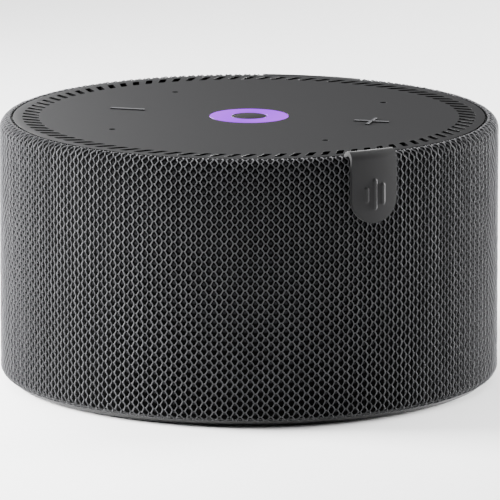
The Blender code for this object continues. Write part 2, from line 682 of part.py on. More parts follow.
def make_rear_panel():
    """The smooth insert in the fabric's gap, with the plug well, the button hole and board pins."""
    outside = outer_profile(RIM_RADIUS, RIM_WIDTH, HEM_CENTRE_HEIGHT, FOOT_CORNER)
    hem_inner = HEM_END_RADIUS
    inside = [(hem_inner, outside[-1][1]), (hem_inner, SHELL_BOTTOM), (PANEL_INNER, SHELL_BOTTOM)]
    panel = add_turned("rear_panel", outside + inside, DARK_PLASTIC, OUTER_SEGMENTS)
    points = sector(REAR_GAP_START, OUTER_RADIUS + OVERCUT, 180, PANEL_HALF_ANGLE)
    slice_ = outline("panel_slice", points, -OVERCUT, BODY_HEIGHT + OVERCUT)
    combine(panel, add_cutter(slice_), "INTERSECT")

    wall = 2 * WELL_WALL
    inner_face = PANEL_INNER + PANEL_THICKNESS / 2
    collar = outline(
        "well_collar",
        rounded_rectangle(WELL_WIDTH + wall, WELL_HEIGHT + wall, WELL_CORNER + WELL_WALL),
        -inner_face,
        -(WELL_FLOOR - WELL_WALL),
        rearward(PORT_LEVEL),
    )
    combine(panel, add_cutter(collar), "UNION")
    pin_start = BUTTON_BOARD_BACK - FIT_GAP
    pins = [
        rod(BOARD_PIN_RADIUS, (x, pin_start, BUTTON_HEIGHT), (x, inner_face, BUTTON_HEIGHT))
        for x in (-BOARD_PIN_OFFSET, BOARD_PIN_OFFSET)
    ]
    combine(panel, add_cutter(solid("board_pins", *pins)), "UNION")
    well = outline(
        "plug_well",
        rounded_rectangle(WELL_WIDTH, WELL_HEIGHT, WELL_CORNER),
        -(OUTER_RADIUS + OVERCUT),
        -WELL_FLOOR,
        rearward(PORT_LEVEL),
    )
    combine(panel, add_cutter(well), "DIFFERENCE")
    mouth = outline(
        "port_hole",
        stadium(PORT_WIDTH + 2 * FIT_GAP, PORT_HEIGHT + 2 * FIT_GAP),
        -(WELL_FLOOR + OVERCUT),
        -(WELL_FLOOR - WELL_WALL - OVERCUT),
        rearward(PORT_LEVEL),
    )
    combine(panel, add_cutter(mouth), "DIFFERENCE")
    hole = rod(
        BUTTON_RADIUS + FIT_GAP,
        (0, PANEL_INNER - PANEL_THICKNESS, BUTTON_HEIGHT),
        (0, OUTER_RADIUS + OVERCUT, BUTTON_HEIGHT),
        2 * SMALL_SEGMENTS,
    )
    combine(panel, add_cutter(solid("button_hole", hole)), "DIFFERENCE")


def make_port():
    """The power receptacle: a metal cup with a contact tongue, on the main board."""
    back = PORT_MOUTH - PORT_DEPTH
    shell = add_part(
        "usb_receptacle",
        outline("usb_receptacle", stadium(PORT_WIDTH, PORT_HEIGHT), -PORT_MOUTH, -back, rearward(PORT_LEVEL)),
        NICKEL,
    )
    inside = stadium(PORT_WIDTH - 2 * PORT_WALL, PORT_HEIGHT - 2 * PORT_WALL)
    floor = back + PORT_WALL
    hollow = outline("port_hollow", inside, -(PORT_MOUTH + OVERCUT), -floor, rearward(PORT_LEVEL))
    combine(shell, add_cutter(hollow), "DIFFERENCE")
    start = floor + FIT_GAP
    half_width, half_height = TONGUE_WIDTH / 2, TONGUE_THICKNESS / 2
    tongue = block(
        (-half_width, start, PORT_LEVEL - half_height),
        (half_width, start + TONGUE_LENGTH, PORT_LEVEL + half_height),
    )
    add_part("usb_tongue", solid("usb_tongue", tongue), CHIP_BLACK)


def make_button():
    """The mute button with its retaining flange, the switch behind it and the small board."""
    axis = bpy.data.objects.new("mute_button_axis", None)
    axis.location = (0.0, BUTTON_BACK, BUTTON_HEIGHT)
    axis.rotation_euler = (math.radians(-90), 0.0, 0.0)
    bpy.data.collections[PARTS].objects.link(axis)
    face = OUTER_RADIUS - BUTTON_BACK
    flange = BUTTON_RADIUS + BUTTON_FLANGE
    points = [
        (0.0, face - BUTTON_DISH),
        (BUTTON_RADIUS - BUTTON_BEVEL, face),
        (BUTTON_RADIUS, face - BUTTON_BEVEL),
        (BUTTON_RADIUS, BUTTON_FLANGE_THICKNESS),
        (flange, BUTTON_FLANGE_THICKNESS),
        (flange, 0.0),
        (0.0, 0.0),
    ]
    button = add_turned("mute_button", points, DARK_PLASTIC, 2 * SMALL_SEGMENTS)
    button.parent = axis
    stem = rod(PLUNGER_RADIUS, (0, 0, -FIT_GAP), (0, 0, -FIT_GAP - PLUNGER_LENGTH))
    add_part("switch_plunger", solid("switch_plunger", stem), WIRE_RED).parent = axis

    half = SWITCH_SIZE / 2
    body = block((-half, SWITCH_BACK, BUTTON_HEIGHT - half), (half, SWITCH_FRONT, BUTTON_HEIGHT + half))
    switch = add_part("mute_switch", solid("mute_switch", body), CHIP_BLACK)
    bore = rod(
        PLUNGER_RADIUS + FIT_GAP,
        (0, SWITCH_FRONT - SWITCH_BORE_DEPTH, BUTTON_HEIGHT),
        (0, SWITCH_FRONT + OVERCUT, BUTTON_HEIGHT),
    )
    combine(switch, add_cutter(solid("switch_bore", bore)), "DIFFERENCE")

    reach = BOARD_PIN_OFFSET + BUTTON_BOARD_BORDER
    sheet = block(
        (-reach, BUTTON_BOARD_BACK, BUTTON_HEIGHT - SWITCH_SIZE),
        (reach, BUTTON_BOARD_FRONT, BUTTON_HEIGHT + SWITCH_SIZE),
    )
    board = add_part("button_board", solid("button_board", sheet), CIRCUIT_GREEN)
    holes = [
        rod(
            BOARD_PIN_RADIUS + FIT_GAP,
            (x, BUTTON_BOARD_BACK - OVERCUT, BUTTON_HEIGHT),
            (x, BUTTON_BOARD_FRONT + OVERCUT, BUTTON_HEIGHT),
        )
        for x in (-BOARD_PIN_OFFSET, BOARD_PIN_OFFSET)
    ]
    combine(board, add_cutter(solid("button_board_holes", *holes)), "DIFFERENCE")


def make_tag():
    """The soft tag: its sewn end stands in the seam and turns over the rim, its flap hangs down."""
    centre = (TAG_REAR + TAG_BEND, TAG_CENTRE_HEIGHT)
    inner = TAG_BEND - TAG_THICKNESS
    half = TAG_WIDTH / 2
    leg = [(TAG_REAR + TAG_THICKNESS, TAG_FOOT), (TAG_REAR, TAG_FOOT)]
    bend = arc(centre, TAG_BEND, 180, 0, 10) + arc(centre, inner, 0, 180, 10)
    upright = Matrix.Rotation(math.radians(90), 4, "X")
    root = outline("tag_root", leg + bend, -half, half, facing(TAG_ANGLE) @ upright)
    add_part("tag_root", root, SILICONE)

    hinge = bpy.data.objects.new("tag_hinge", None)
    place = (TAG_FRONT - TAG_THICKNESS / 2, 0.0, TAG_CENTRE_HEIGHT - TAG_FLEX_GAP / 2)
    hinge.matrix_world = facing(TAG_ANGLE) @ Matrix.Translation(place)
    bpy.data.collections[PARTS].objects.link(hinge)
    flap_top = TAG_CENTRE_HEIGHT - TAG_FLEX_GAP
    low = TAG_TOP - TAG_LENGTH + half
    lower_end = arc((0.0, low), half, 0, -180, 20)
    shape = [(-half, flap_top), (half, flap_top), *lower_end]
    back = Matrix.Translation([-x for x in place])
    across = Matrix(((0, 0, 1, 0), (1, 0, 0, 0), (0, 1, 0, 0), (0, 0, 0, 1)))
    flap = outline("tag_flap", shape, TAG_FRONT - TAG_THICKNESS, TAG_FRONT, back @ across)
    add_part("tag_flap", flap, SILICONE).parent = hinge


# ---------------------------------------------------------------- loudspeaker chamber and fixings
def make_chamber():
    """The closed box behind the loudspeaker, with posts for the base screws, and its lid."""
    inner = CHAMBER_RADIUS - CHAMBER_WALL
    points = [
        (0.0, CUP_FLOOR),
        (inner, CUP_FLOOR),
        (inner, CUP_TOP),
        (CHAMBER_RADIUS, CUP_TOP),
        (CHAMBER_RADIUS, CUP_BOTTOM),
        (0.0, CUP_BOTTOM),
    ]
    cup = add_turned("chamber_cup", points, BLACK_PLASTIC, DRIVER_SEGMENTS)
    posts = [
        rod(POST_RADIUS, around(POST_CIRCLE, a, POST_BOTTOM), around(POST_CIRCLE, a, CUP_TOP - OVERCUT))
        for a in POST_ANGLES
    ]
    combine(cup, add_cutter(solid("posts", *posts)), "UNION")
    keep_clear = rod(inner, (0, 0, CUP_FLOOR), (0, 0, CUP_TOP + OVERCUT), DRIVER_SEGMENTS)
    combine(cup, add_cutter(solid("chamber_hollow", keep_clear)), "DIFFERENCE")
    bores = [
        rod(
            BASE_SCREW_RADIUS + FIT_GAP,
            around(POST_CIRCLE, a, POST_BOTTOM - OVERCUT),
            around(POST_CIRCLE, a, BASE_SCREW_HEAD_TOP + BASE_SCREW_LENGTH + FIT_GAP),
        )
        for a in POST_ANGLES
    ]
    lead_hole = LEAD_RADIUS + LEAD_HOLE_CLEARANCE
    leads = [
        rod(lead_hole, (x, -LEAD_CIRCLE, MAIN_BOARD_TOP), (x, -LEAD_CIRCLE, CUP_FLOOR + OVERCUT), 8)
        for x in (-LEAD_SPACING / 2, LEAD_SPACING / 2)
    ]
    combine(cup, add_cutter(solid("cup_holes", *bores, *leads)), "DIFFERENCE")

    opening = basket_outer_radius(LID_BOTTOM) + FIT_GAP
    opening = max(opening, basket_outer_radius(LID_TOP) + FIT_GAP)
    ring = [
        (opening, LID_TOP),
        (CHAMBER_RADIUS, LID_TOP),
        (CHAMBER_RADIUS, LID_BOTTOM),
        (opening, LID_BOTTOM),
    ]
    lid = add_turned("chamber_lid", ring, BLACK_PLASTIC, DRIVER_SEGMENTS)
    combine(lid, driver_screw_holes("lid_holes", LID_BOTTOM - OVERCUT, LID_TOP + OVERCUT), "DIFFERENCE")


def basket_outer_radius(level):
    """The outer radius of the basket's sloping wall at a level."""
    low_radius, low_level = SPIDER_RADIUS + BASKET_WALL, SHELF_TOP - BASKET_WALL
    high_radius, high_level = BASKET_RADIUS + BASKET_WALL, FLANGE_BOTTOM
    share = (level - low_level) / (high_level - low_level)
    return low_radius + (high_radius - low_radius) * share


def driver_screw_holes(name, low, high):
    """Cuts the four holes of the loudspeaker's screws between two levels."""
    radius = DRIVER_SCREW_RADIUS + FIT_GAP
    circle = DRIVER_SCREW_CIRCLE
    rods = [rod(radius, around(circle, a, low), around(circle, a, high), 8) for a in DRIVER_SCREW_ANGLES]
    return add_cutter(solid(name, *rods))


def screw_profile(head_radius, head_height, radius, length):
    """A pan-head screw, head down, with the top of its head at zero and its shank above."""
    return [
        (0.0, length),
        (radius * SCREW_TIP, length),
        (radius, length - radius * (1 - SCREW_TIP)),
        (radius, 0.0),
        (head_radius, 0.0),
        (head_radius * SCREW_CROWN, -head_height),
        (0.0, -head_height),
    ]


def make_screws():
    """Base screws into the posts, and loudspeaker screws into the lid."""
    profile = screw_profile(
        BASE_SCREW_HEAD_RADIUS, BASE_SCREW_HEAD_HEIGHT, BASE_SCREW_RADIUS, BASE_SCREW_LENGTH
    )
    mesh = profile_mesh("base_screw", profile)
    for number, angle in enumerate(POST_ANGLES, 1):
        place = Matrix.Translation(around(POST_CIRCLE, angle, BASE_SCREW_HEAD_TOP))
        turn(add_part(f"base_screw_{number}", mesh, STEEL, place), SMALL_SEGMENTS)
    length = FLANGE_TOP - LID_BOTTOM - FIT_GAP
    profile = screw_profile(
        DRIVER_SCREW_HEAD_RADIUS, DRIVER_SCREW_HEAD_HEIGHT, DRIVER_SCREW_RADIUS, length
    )
    mesh = profile_mesh("driver_screw", profile)
    upside_down = Matrix.Rotation(math.pi, 4, "X")
    for number, angle in enumerate(DRIVER_SCREW_ANGLES, 1):
        place = Matrix.Translation(around(DRIVER_SCREW_CIRCLE, angle, FLANGE_TOP + FIT_GAP))
        turn(add_part(f"driver_screw_{number}", mesh, STEEL, place @ upside_down), SMALL_SEGMENTS)


# ---------------------------------------------------------------- loudspeaker
def make_basket():
    """The loudspeaker's pressed frame, with a spider shelf and windows, and its gasket."""
    wall = BASKET_WALL
    shelf_inner = SPIDER_RADIUS - SHELF_WIDTH
    points = [
        (BASKET_RADIUS, FLANGE_TOP),
        (FLANGE_RADIUS, FLANGE_TOP),
        (FLANGE_RADIUS, FLANGE_BOTTOM),
        (BASKET_RADIUS + wall, FLANGE_BOTTOM),
        (SPIDER_RADIUS + wall, SHELF_TOP - wall),
        (shelf_inner + wall, SHELF_TOP - wall),
        (shelf_inner + wall, HUB_BOTTOM),
        (WASHER_BORE + HUB_MARGIN, HUB_BOTTOM),
        (WASHER_BORE + HUB_MARGIN, HUB_TOP),
        (shelf_inner, HUB_TOP),
        (shelf_inner, SHELF_TOP),
        (SPIDER_RADIUS + FIT_GAP, SHELF_TOP),
    ]
    basket = add_turned("speaker_basket", points, STEEL, DRIVER_SEGMENTS)
    low, high = SHELF_TOP + WINDOW_RISE, LID_BOTTOM
    half = WINDOW_WIDTH / 2
    near, far = SPIDER_RADIUS / 2, FLANGE_RADIUS
    windows = [
        block((near, -half, low), (far, half, high), facing(360 * i / WINDOW_COUNT))
        for i in range(WINDOW_COUNT)
    ]
    for number, window in enumerate(windows[: WINDOW_COUNT // 2]):
        pair = solid(f"basket_windows_{number}", window, windows[number + WINDOW_COUNT // 2])
        combine(basket, add_cutter(pair), "DIFFERENCE")
    holes = driver_screw_holes("basket_holes", FLANGE_BOTTOM - OVERCUT, FLANGE_TOP + OVERCUT)
    combine(basket, holes, "DIFFERENCE")

    inner = BASKET_RADIUS + wall + FIT_GAP
    low, high = LID_TOP + FIT_GAP, GASKET_TOP
    ring = [(inner, high), (FLANGE_RADIUS, high), (FLANGE_RADIUS, low), (inner, low)]
    gasket = add_turned("speaker_gasket", ring, FOAM, DRIVER_SEGMENTS)
    combine(gasket, driver_screw_holes("gasket_holes", low - OVERCUT, high + OVERCUT), "DIFFERENCE")


def make_motor():
    """The washer, the ring magnet and the yoke with its pole."""
    for name, inner, outer, low, high, finish in (
        ("motor_washer", WASHER_BORE, WASHER_RADIUS, WASHER_BOTTOM, WASHER_TOP, STEEL),
        ("ring_magnet", MAGNET_BORE, MAGNET_RADIUS, MAGNET_BOTTOM, MAGNET_TOP, FERRITE),
    ):
        ring = [(inner, high), (outer, high), (outer, low), (inner, low)]
        add_turned(name, ring, finish, DRIVER_SEGMENTS)
    yoke = [
        (0.0, WASHER_TOP),
        (POLE_RADIUS, WASHER_TOP),
        (POLE_RADIUS, YOKE_TOP),
        (WASHER_RADIUS, YOKE_TOP),
        (WASHER_RADIUS, YOKE_BOTTOM),
        (0.0, YOKE_BOTTOM),
    ]
    add_turned("yoke", yoke, STEEL, DRIVER_SEGMENTS)


def make_cone():
    """What moves in the loudspeaker: the cone, the dust cap and the voice coil."""
    axis = bpy.data.objects.new("cone_axis", None)
    bpy.data.collections[PARTS].objects.link(axis)
    rim = CONE_RIM - CONE_THICKNESS
    cone = [
        (CONE_RADIUS, CONE_RIM),
        (CONE_RADIUS, rim),
        (CONE_NECK_RADIUS, CONE_NECK),
        (CONE_NECK_RADIUS, CONE_NECK + CONE_THICKNESS),
    ]
    add_turned("speaker_cone", cone, PAPER, DRIVER_SEGMENTS).parent = axis

    seat = CONE_NECK + CONE_THICKNESS + (DUST_CAP_RADIUS - CONE_NECK_RADIUS) * CONE_SLOPE + FIT_GAP
    rise = DUST_CAP_RISE
    dome = (DUST_CAP_RADIUS**2 + rise**2) / (2 * rise)
    spread = math.degrees(math.asin(DUST_CAP_RADIUS / dome))
    centre = (0.0, seat + rise - dome)
    outside = arc(centre, dome, 90, 90 - spread, 4)
    inside = arc(centre, dome - DUST_CAP_THICKNESS, 90 - spread, 90, 4)
    outside[0] = (0.0, outside[0][1])
    inside[-1] = (0.0, inside[-1][1])
    add_turned("dust_cap", outside + inside, PAPER, DRIVER_SEGMENTS).parent = axis

    winding = FORMER_RADIUS + WINDING_THICKNESS
    middle = (WASHER_TOP + WASHER_BOTTOM) / 2
    coil = [
        (FORMER_RADIUS - FORMER_WALL, FORMER_TOP),
        (FORMER_RADIUS, FORMER_TOP),
        (FORMER_RADIUS, middle + WINDING_LENGTH / 2),
        (winding, middle + WINDING_LENGTH / 2),
        (winding, middle - WINDING_LENGTH / 2),
        (FORMER_RADIUS, middle - WINDING_LENGTH / 2),
        (FORMER_RADIUS, FORMER_BOTTOM),
        (FORMER_RADIUS - FORMER_WALL, FORMER_BOTTOM),
    ]
    add_turned("voice_coil", coil, COPPER, DRIVER_SEGMENTS).parent = axis


def make_suspension():
    """The rolled surround and the corrugated spider, which stretch as the cone moves."""
    lip = SURROUND_LIP
    roll = (BASKET_RADIUS + FIT_GAP - CONE_RADIUS - FIT_GAP * 2) / 2
    centre = (CONE_RADIUS + FIT_GAP * 2 + roll, LIP_BOTTOM)
    outer_lip = centre[0] + roll + lip
    inner_lip = centre[0] - roll - lip
    above = arc(centre, roll + SURROUND_THICKNESS, 180 - ROLL_EDGE, ROLL_EDGE, ROLL_STEPS)
    below = arc(centre, roll, 0, 180, ROLL_STEPS)
    thick = LIP_BOTTOM + SURROUND_THICKNESS
    points = [(inner_lip, thick), *above, (outer_lip, thick), (outer_lip, LIP_BOTTOM), *below]
    points += [(inner_lip, LIP_BOTTOM)]
    add_turned("surround", points, SOFT_RUBBER, DRIVER_SEGMENTS)

    inner = FORMER_RADIUS + FIT_GAP
    low = SHELF_TOP + FIT_GAP
    steps = SPIDER_STEPS
    radii = [SPIDER_RADIUS - (SPIDER_RADIUS - inner) * i / steps for i in range(steps + 1)]
    waves = [SPIDER_WAVE if i % 2 and i > 1 else 0.0 for i in range(steps + 1)]
    above = [(r, low + SPIDER_THICKNESS + w) for r, w in zip(radii, waves)][::-1]
    below = [(r, low + w) for r, w in zip(radii, waves)]
    add_turned("spider", above + below, YELLOW_CLOTH, DRIVER_SEGMENTS)


# ---------------------------------------------------------------- electronics
def make_main_board():
    """The main board with its rear tongue, the processor under its shield, and the spreader."""
    low, high = MAIN_BOARD_HEIGHT, MAIN_BOARD_TOP
    disc = rod(MAIN_BOARD_RADIUS, (0, 0, low), (0, 0, high), DRIVER_SEGMENTS)
    board = add_part("main_board", solid("main_board", disc), CIRCUIT_GREEN)
    half = MAIN_BOARD_TONGUE / 2
    end = WELL_FLOOR - WELL_WALL - FIT_GAP
    tongue = solid("board_tongue", block((-half, 0, low), (half, end, high)))
    combine(board, add_cutter(tongue), "UNION")
    holes = [
        rod(
            STANDOFF_PIN_RADIUS + FIT_GAP,
            around(STANDOFF_CIRCLE, a, low - OVERCUT),
            around(STANDOFF_CIRCLE, a, high + OVERCUT),
        )
        for a in STANDOFF_ANGLES
    ]
    combine(board, add_cutter(solid("board_holes", *holes)), "DIFFERENCE")

    seat = high + FIT_GAP
    wide, deep, thick = PROCESSOR_SIZE
    add_centred_box("processor", (wide, deep), seat, seat + thick, CHIP_BLACK)
    pad = seat + thick + FIT_GAP
    add_centred_box("thermal_pad", (wide, deep), pad, pad + THERMAL_PAD_THICKNESS, THERMAL_GREY)
    can = add_centred_box("shield_can", (SHIELD_SIZE, SHIELD_SIZE), seat, SHIELD_TOP, NICKEL)
    reach = SHIELD_SIZE / 2 - SHIELD_WALL
    hollow = block((-reach, -reach, seat - OVERCUT), (reach, reach, SHIELD_TOP - SHIELD_WALL))
    combine(can, add_cutter(solid("shield_hollow", hollow)), "DIFFERENCE")
    plate = SPREADER_BOTTOM
    size = (SPREADER_SIZE, SPREADER_SIZE)
    add_centred_box("heat_spreader", size, plate, plate + SPREADER_THICKNESS, ALUMINIUM)


def add_centred_box(name, size, low, high, finish, centre=(0.0, 0.0)):
    """Add a box that is centred in plan between two levels."""
    half = (size[0] / 2, size[1] / 2)
    shape = block(
        (centre[0] - half[0], centre[1] - half[1], low), (centre[0] + half[0], centre[1] + half[1], high)
    )
    return add_part(name, solid(name, shape), finish)


def make_top_board():
    """The board under the touch top, with its lights, microphones and touch pads."""
    low, high = TOP_BOARD_BOTTOM, TOP_BOARD_TOP
    disc = rod(TOP_BOARD_RADIUS, (0, 0, low), (0, 0, high), DRIVER_SEGMENTS)
    board = add_part("touch_board", solid("touch_board", disc), CIRCUIT_GREEN)
    holes = [
        rod(
            STAKE_RADIUS + FIT_GAP,
            around(STAKE_CIRCLE, a, low - OVERCUT),
            around(STAKE_CIRCLE, a, high + OVERCUT),
        )
        for a in LED_ANGLES
    ]
    combine(board, add_cutter(solid("stake_holes", *holes)), "DIFFERENCE")

    seat = high + FIT_GAP
    ring = (LIGHT_RADIUS + CENTRE_RADIUS) / 2
    wide, deep, thick = LED_SIZE
    shape = block((-wide / 2, -deep / 2, 0), (wide / 2, deep / 2, thick))
    mesh = solid("status_led", shape)
    for number, angle in enumerate(LED_ANGLES, 1):
        place = Matrix.Translation(around(ring, angle, seat)) @ facing(angle)
        add_part(f"status_led_{number}", mesh, LED_WHITE, place)

    wide, deep, thick = MIC_SIZE
    mic = solid("microphone", block((-wide / 2, -deep / 2, 0), (wide / 2, deep / 2, thick)))
    boot_bottom = seat + thick + FIT_GAP
    boot_height = TOP_UNDERSIDE - FIT_GAP - boot_bottom
    bore = MIC_HOLE_RADIUS
    boot = profile_mesh(
        "mic_boot",
        [(bore, boot_height), (MIC_BOOT_RADIUS, boot_height), (MIC_BOOT_RADIUS, 0.0), (bore, 0.0)],
    )
    for number, angle in enumerate(MIC_ANGLES, 1):
        place = Matrix.Translation(around(MIC_CIRCLE, angle, seat)) @ facing(angle)
        add_part(f"microphone_{number}", mic, NICKEL, place)
        place = Matrix.Translation(around(MIC_CIRCLE, angle, boot_bottom))
        turn(add_part(f"mic_boot_{number}", boot, SOFT_RUBBER, place), SMALL_SEGMENTS)

    size = (TOUCH_PAD_SIZE, TOUCH_PAD_SIZE)
    top = TOP_UNDERSIDE - FIT_GAP
    add_centred_box("minus_touch_pad", size, seat, top, FOAM, (-SIGN_CIRCLE, 0.0))
    add_centred_box("plus_touch_pad", size, seat, top, FOAM, (SIGN_CIRCLE, 0.0))


def add_wire(name, points, radius, finish):
    """Add a round wire through a few points, as a smooth polyline tube with closed ends."""
    curve = bpy.data.curves.new(name, "CURVE")
    curve.dimensions = "3D"
    curve.bevel_depth = radius
    curve.bevel_resolution = 1
    curve.use_fill_caps = True
    spline = curve.splines.new("POLY")
    spline.points.add(len(points) - 1)
    for point, place in zip(spline.points, points):
        point.co = (*place, 1.0)
    wire = bpy.data.objects.new(name, curve)
    bpy.data.collections[PARTS].objects.link(wire)
    curve.materials.append(make_material(name, *finish))


def make_wiring():
    """The ribbon between the boards, the loudspeaker's two leads, and the antenna."""
    inner = CHAMBER_RADIUS + FIT_GAP * 2
    outer = inner + RIBBON_BULGE
    low = MAIN_BOARD_TOP + FIT_GAP
    high = TOP_BOARD_BOTTOM - FIT_GAP
    bend = RIBBON_BULGE
    start = MAIN_BOARD_RADIUS - RIBBON_BULGE
    path = [(start, low), *arc((outer - bend, low + bend), bend, -90, 0, 4)]
    path += [*arc((outer - bend, high - bend), bend, 0, 90, 4), (start, high)]
    half = RIBBON_WIDTH / 2
    thin = RIBBON_THICKNESS
    back = [(start, high - thin), *arc((outer - bend, high - bend), bend - thin, 90, 0, 4)]
    back += [*arc((outer - bend, low + bend), bend - thin, 0, -90, 4), (start, low + thin)]
    upright = Matrix.Rotation(math.radians(90), 4, "X")
    band = outline("ribbon_cable", path + back, -half, half, facing(270) @ upright)
    add_part("ribbon_cable", band, RIBBON_WHITE)

    top = SHELF_TOP
    span = SPIDER_RADIUS + BASKET_WALL + LEAD_RADIUS + FIT_GAP
    reach = LEAD_CIRCLE - span
    for name, x, finish in (
        ("lead_red", -LEAD_SPACING / 2, WIRE_RED),
        ("lead_black", LEAD_SPACING / 2, WIRE_BLACK),
    ):
        bow = arc((span, top - reach), reach, 90, 0, 5)
        points = [(x, -y, z) for y, z in bow] + [(x, -LEAD_CIRCLE, MAIN_BOARD_TOP + FIT_GAP)]
        add_wire(name, points, LEAD_RADIUS, finish)

    wide, thick, tall = ANTENNA_SIZE
    face = CHAMBER_RADIUS + FIT_GAP
    low = CUP_BOTTOM + ANTENNA_RISE
    strip = block((face, -wide / 2, low), (face + thick, wide / 2, low + tall))
    add_part("antenna", solid("antenna", strip), COPPER, facing(ANTENNA_ANGLE))


def build_hub():
    """Make every piece of the hub."""
    start_empty()
    make_top_panel()
    make_light()
    make_fabric_sleeve()
    make_side_shell()
    make_base_plate()
    make_foot_pad()
    make_rear_panel()
    make_port()
    make_button()
    make_tag()
    make_chamber()
    make_screws()
    make_basket()
    make_motor()
    make_cone()
    make_suspension()
    make_main_board()
    make_top_board()
    make_wiring()


build_hub()
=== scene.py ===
"""The looks of a round, fabric-wrapped smart home hub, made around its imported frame.

Metres, +Z up, the front towards -Y. Angles round the body are counted from the front towards +X.
"""

import json
import math

import bmesh
import bpy
from mathutils import Matrix, Vector


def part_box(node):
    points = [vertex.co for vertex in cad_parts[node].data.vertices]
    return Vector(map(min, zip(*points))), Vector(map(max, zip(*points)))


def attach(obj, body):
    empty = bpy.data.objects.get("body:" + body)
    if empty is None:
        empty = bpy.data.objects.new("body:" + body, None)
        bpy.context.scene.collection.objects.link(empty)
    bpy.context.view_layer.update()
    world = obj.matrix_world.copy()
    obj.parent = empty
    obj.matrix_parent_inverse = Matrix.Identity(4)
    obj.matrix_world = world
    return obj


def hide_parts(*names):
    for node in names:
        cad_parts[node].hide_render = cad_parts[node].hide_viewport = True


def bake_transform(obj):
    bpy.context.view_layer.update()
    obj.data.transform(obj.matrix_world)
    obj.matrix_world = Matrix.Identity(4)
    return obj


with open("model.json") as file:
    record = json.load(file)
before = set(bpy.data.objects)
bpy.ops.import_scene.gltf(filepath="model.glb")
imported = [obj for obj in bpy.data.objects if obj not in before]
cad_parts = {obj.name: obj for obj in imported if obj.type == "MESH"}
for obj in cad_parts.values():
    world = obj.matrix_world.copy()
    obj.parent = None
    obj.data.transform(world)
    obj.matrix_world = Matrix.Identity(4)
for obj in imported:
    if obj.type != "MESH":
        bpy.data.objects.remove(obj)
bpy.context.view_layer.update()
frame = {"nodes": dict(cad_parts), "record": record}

bl_info = {
    "name": "Fabric Smart Hub",
    "version": (1, 0, 0),
    "blender": (4, 5, 0),
    "location": "View3D > Sidebar > Hub",
    "description": "Builds the visible surfaces of a round smart home hub around its frame",
    "category": "Object",
}

MM = 0.001

# Places that come from the frame.
SLEEVE_LOW, SLEEVE_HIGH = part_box("fabric_sleeve")
OUTER_RADIUS = SLEEVE_HIGH.x
BODY_HEIGHT = SLEEVE_HIGH.z
TOP_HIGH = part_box("top_panel")[1]
TOP_RADIUS = TOP_HIGH.x
TOP_SURFACE = TOP_HIGH.z
CAP_LOW, CAP_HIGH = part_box("centre_cap")
BASE_LOW, BASE_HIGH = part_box("base_plate")
FOOT_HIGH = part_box("foot_pad")[1]
PORT_LOW, PORT_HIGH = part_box("usb_receptacle")
BUTTON_LOW, BUTTON_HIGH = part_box("mute_button")

# Sizes of the design that the frame's boxes don't give.
FIT_GAP = 0.3 * MM
RIM_WIDTH = OUTER_RADIUS - TOP_RADIUS - FIT_GAP
RIM_CORNER = BODY_HEIGHT - RIM_WIDTH
RIM_LIFT = 0.33 * MM  # how far the soft yarns stand above the rim's nominal height
STITCH_DEPTH = 0.36 * MM  # how far the stitches lie inside the yarns
UNEVEN_SIZE = 2.5 * MM  # how far apart the yarns drift to different sides
RIM_TUCK = 0.38 * MM
RIM_TURN = 80.0
HEM_CORNER = 2.0 * MM
HEM_ANGLE = 80.0
HEM_RISE = SLEEVE_LOW.z + HEM_CORNER * math.sin(math.radians(HEM_ANGLE))
TOP_THICKNESS = 1.9 * MM
TOP_BEVEL = 0.18 * MM
REAR_HALF_ANGLE = 12.55
REAR_GAP_ANGLE = 12.92
TAG_ANGLE = 44.6
TAG_WIDTH = 9.75 * MM
TAG_LENGTH = 14.0 * MM
TAG_THICKNESS = 0.9 * MM
TAG_RISE = 1.3 * MM
TAG_REAR = TOP_RADIUS + FIT_GAP * 1.5
TAG_FRONT = OUTER_RADIUS + FIT_GAP + TAG_THICKNESS
TAG_BEND = (TAG_FRONT - TAG_REAR) / 2
TAG_TOP = BODY_HEIGHT + TAG_RISE
SIGN_LENGTH = 7.0 * MM
SIGN_WIDTH = 0.65 * MM
SIGN_RISE = 0.3 * MM
SIGN_CIRCLE = TOP_RADIUS - 21.5 * MM
MIC_CIRCLE = TOP_RADIUS - 16.0 * MM
MIC_RADIUS = 0.64 * MM
MIC_ANGLES = (45.0, 135.0, 225.0, 315.0)
SLOT_LENGTH = 3.3 * MM
SLOT_CIRCLE = TOP_RADIUS - 1.9 * MM - SLOT_LENGTH / 2
SLOT_SLANT = 30.0
LIGHT_RADIUS = 7.75 * MM
SHADE_FADE_DEEP = 0.025 * MM  # below the surface, where the near-black painted shade on an edge begins to fade into the grey
SHADE_FADE_SHALLOW = 0.010 * MM  # below the surface, where the grey covers fully and the painted shade ends
PAINT_ROUGHNESS = 0.42
PAINT_GLOSS = 0.3
CENTRE_RADIUS = (CAP_HIGH.x - CAP_LOW.x) / 2
PORT_LEVEL = (PORT_LOW.z + PORT_HIGH.z) / 2
WELL_WIDTH = 13.0 * MM
WELL_HEIGHT = 7.2 * MM
WELL_DEPTH = 4.4 * MM
WELL_CORNER = 1.5 * MM
WELL_WALL = 0.9 * MM
BUTTON_RADIUS = 4.0 * MM
BUTTON_LEVEL = (BUTTON_LOW.z + BUTTON_HIGH.z) / 2


# ---------------------------------------------------------------- shared helpers
def linear(code):
    """An sRGB hex colour as linear red, green and blue."""
    parts = [int(code[i : i + 2], 16) / 255 for i in (1, 3, 5)]
    return tuple(c / 12.92 if c <= 0.04045 else ((c + 0.055) / 1.055) ** 2.4 for c in parts)


def add_node(tree, kind, inputs=None, **settings):
    """Add a node with its settings; an input is a value, or a socket to link from."""
    node = tree.nodes.new(kind)
    for name, value in settings.items():
        setattr(node, name, value)
    for key, value in (inputs or {}).items():
        if isinstance(value, bpy.types.NodeSocket):
            tree.links.new(value, node.inputs[key])
        else:
            node.inputs[key].default_value = value
    return node


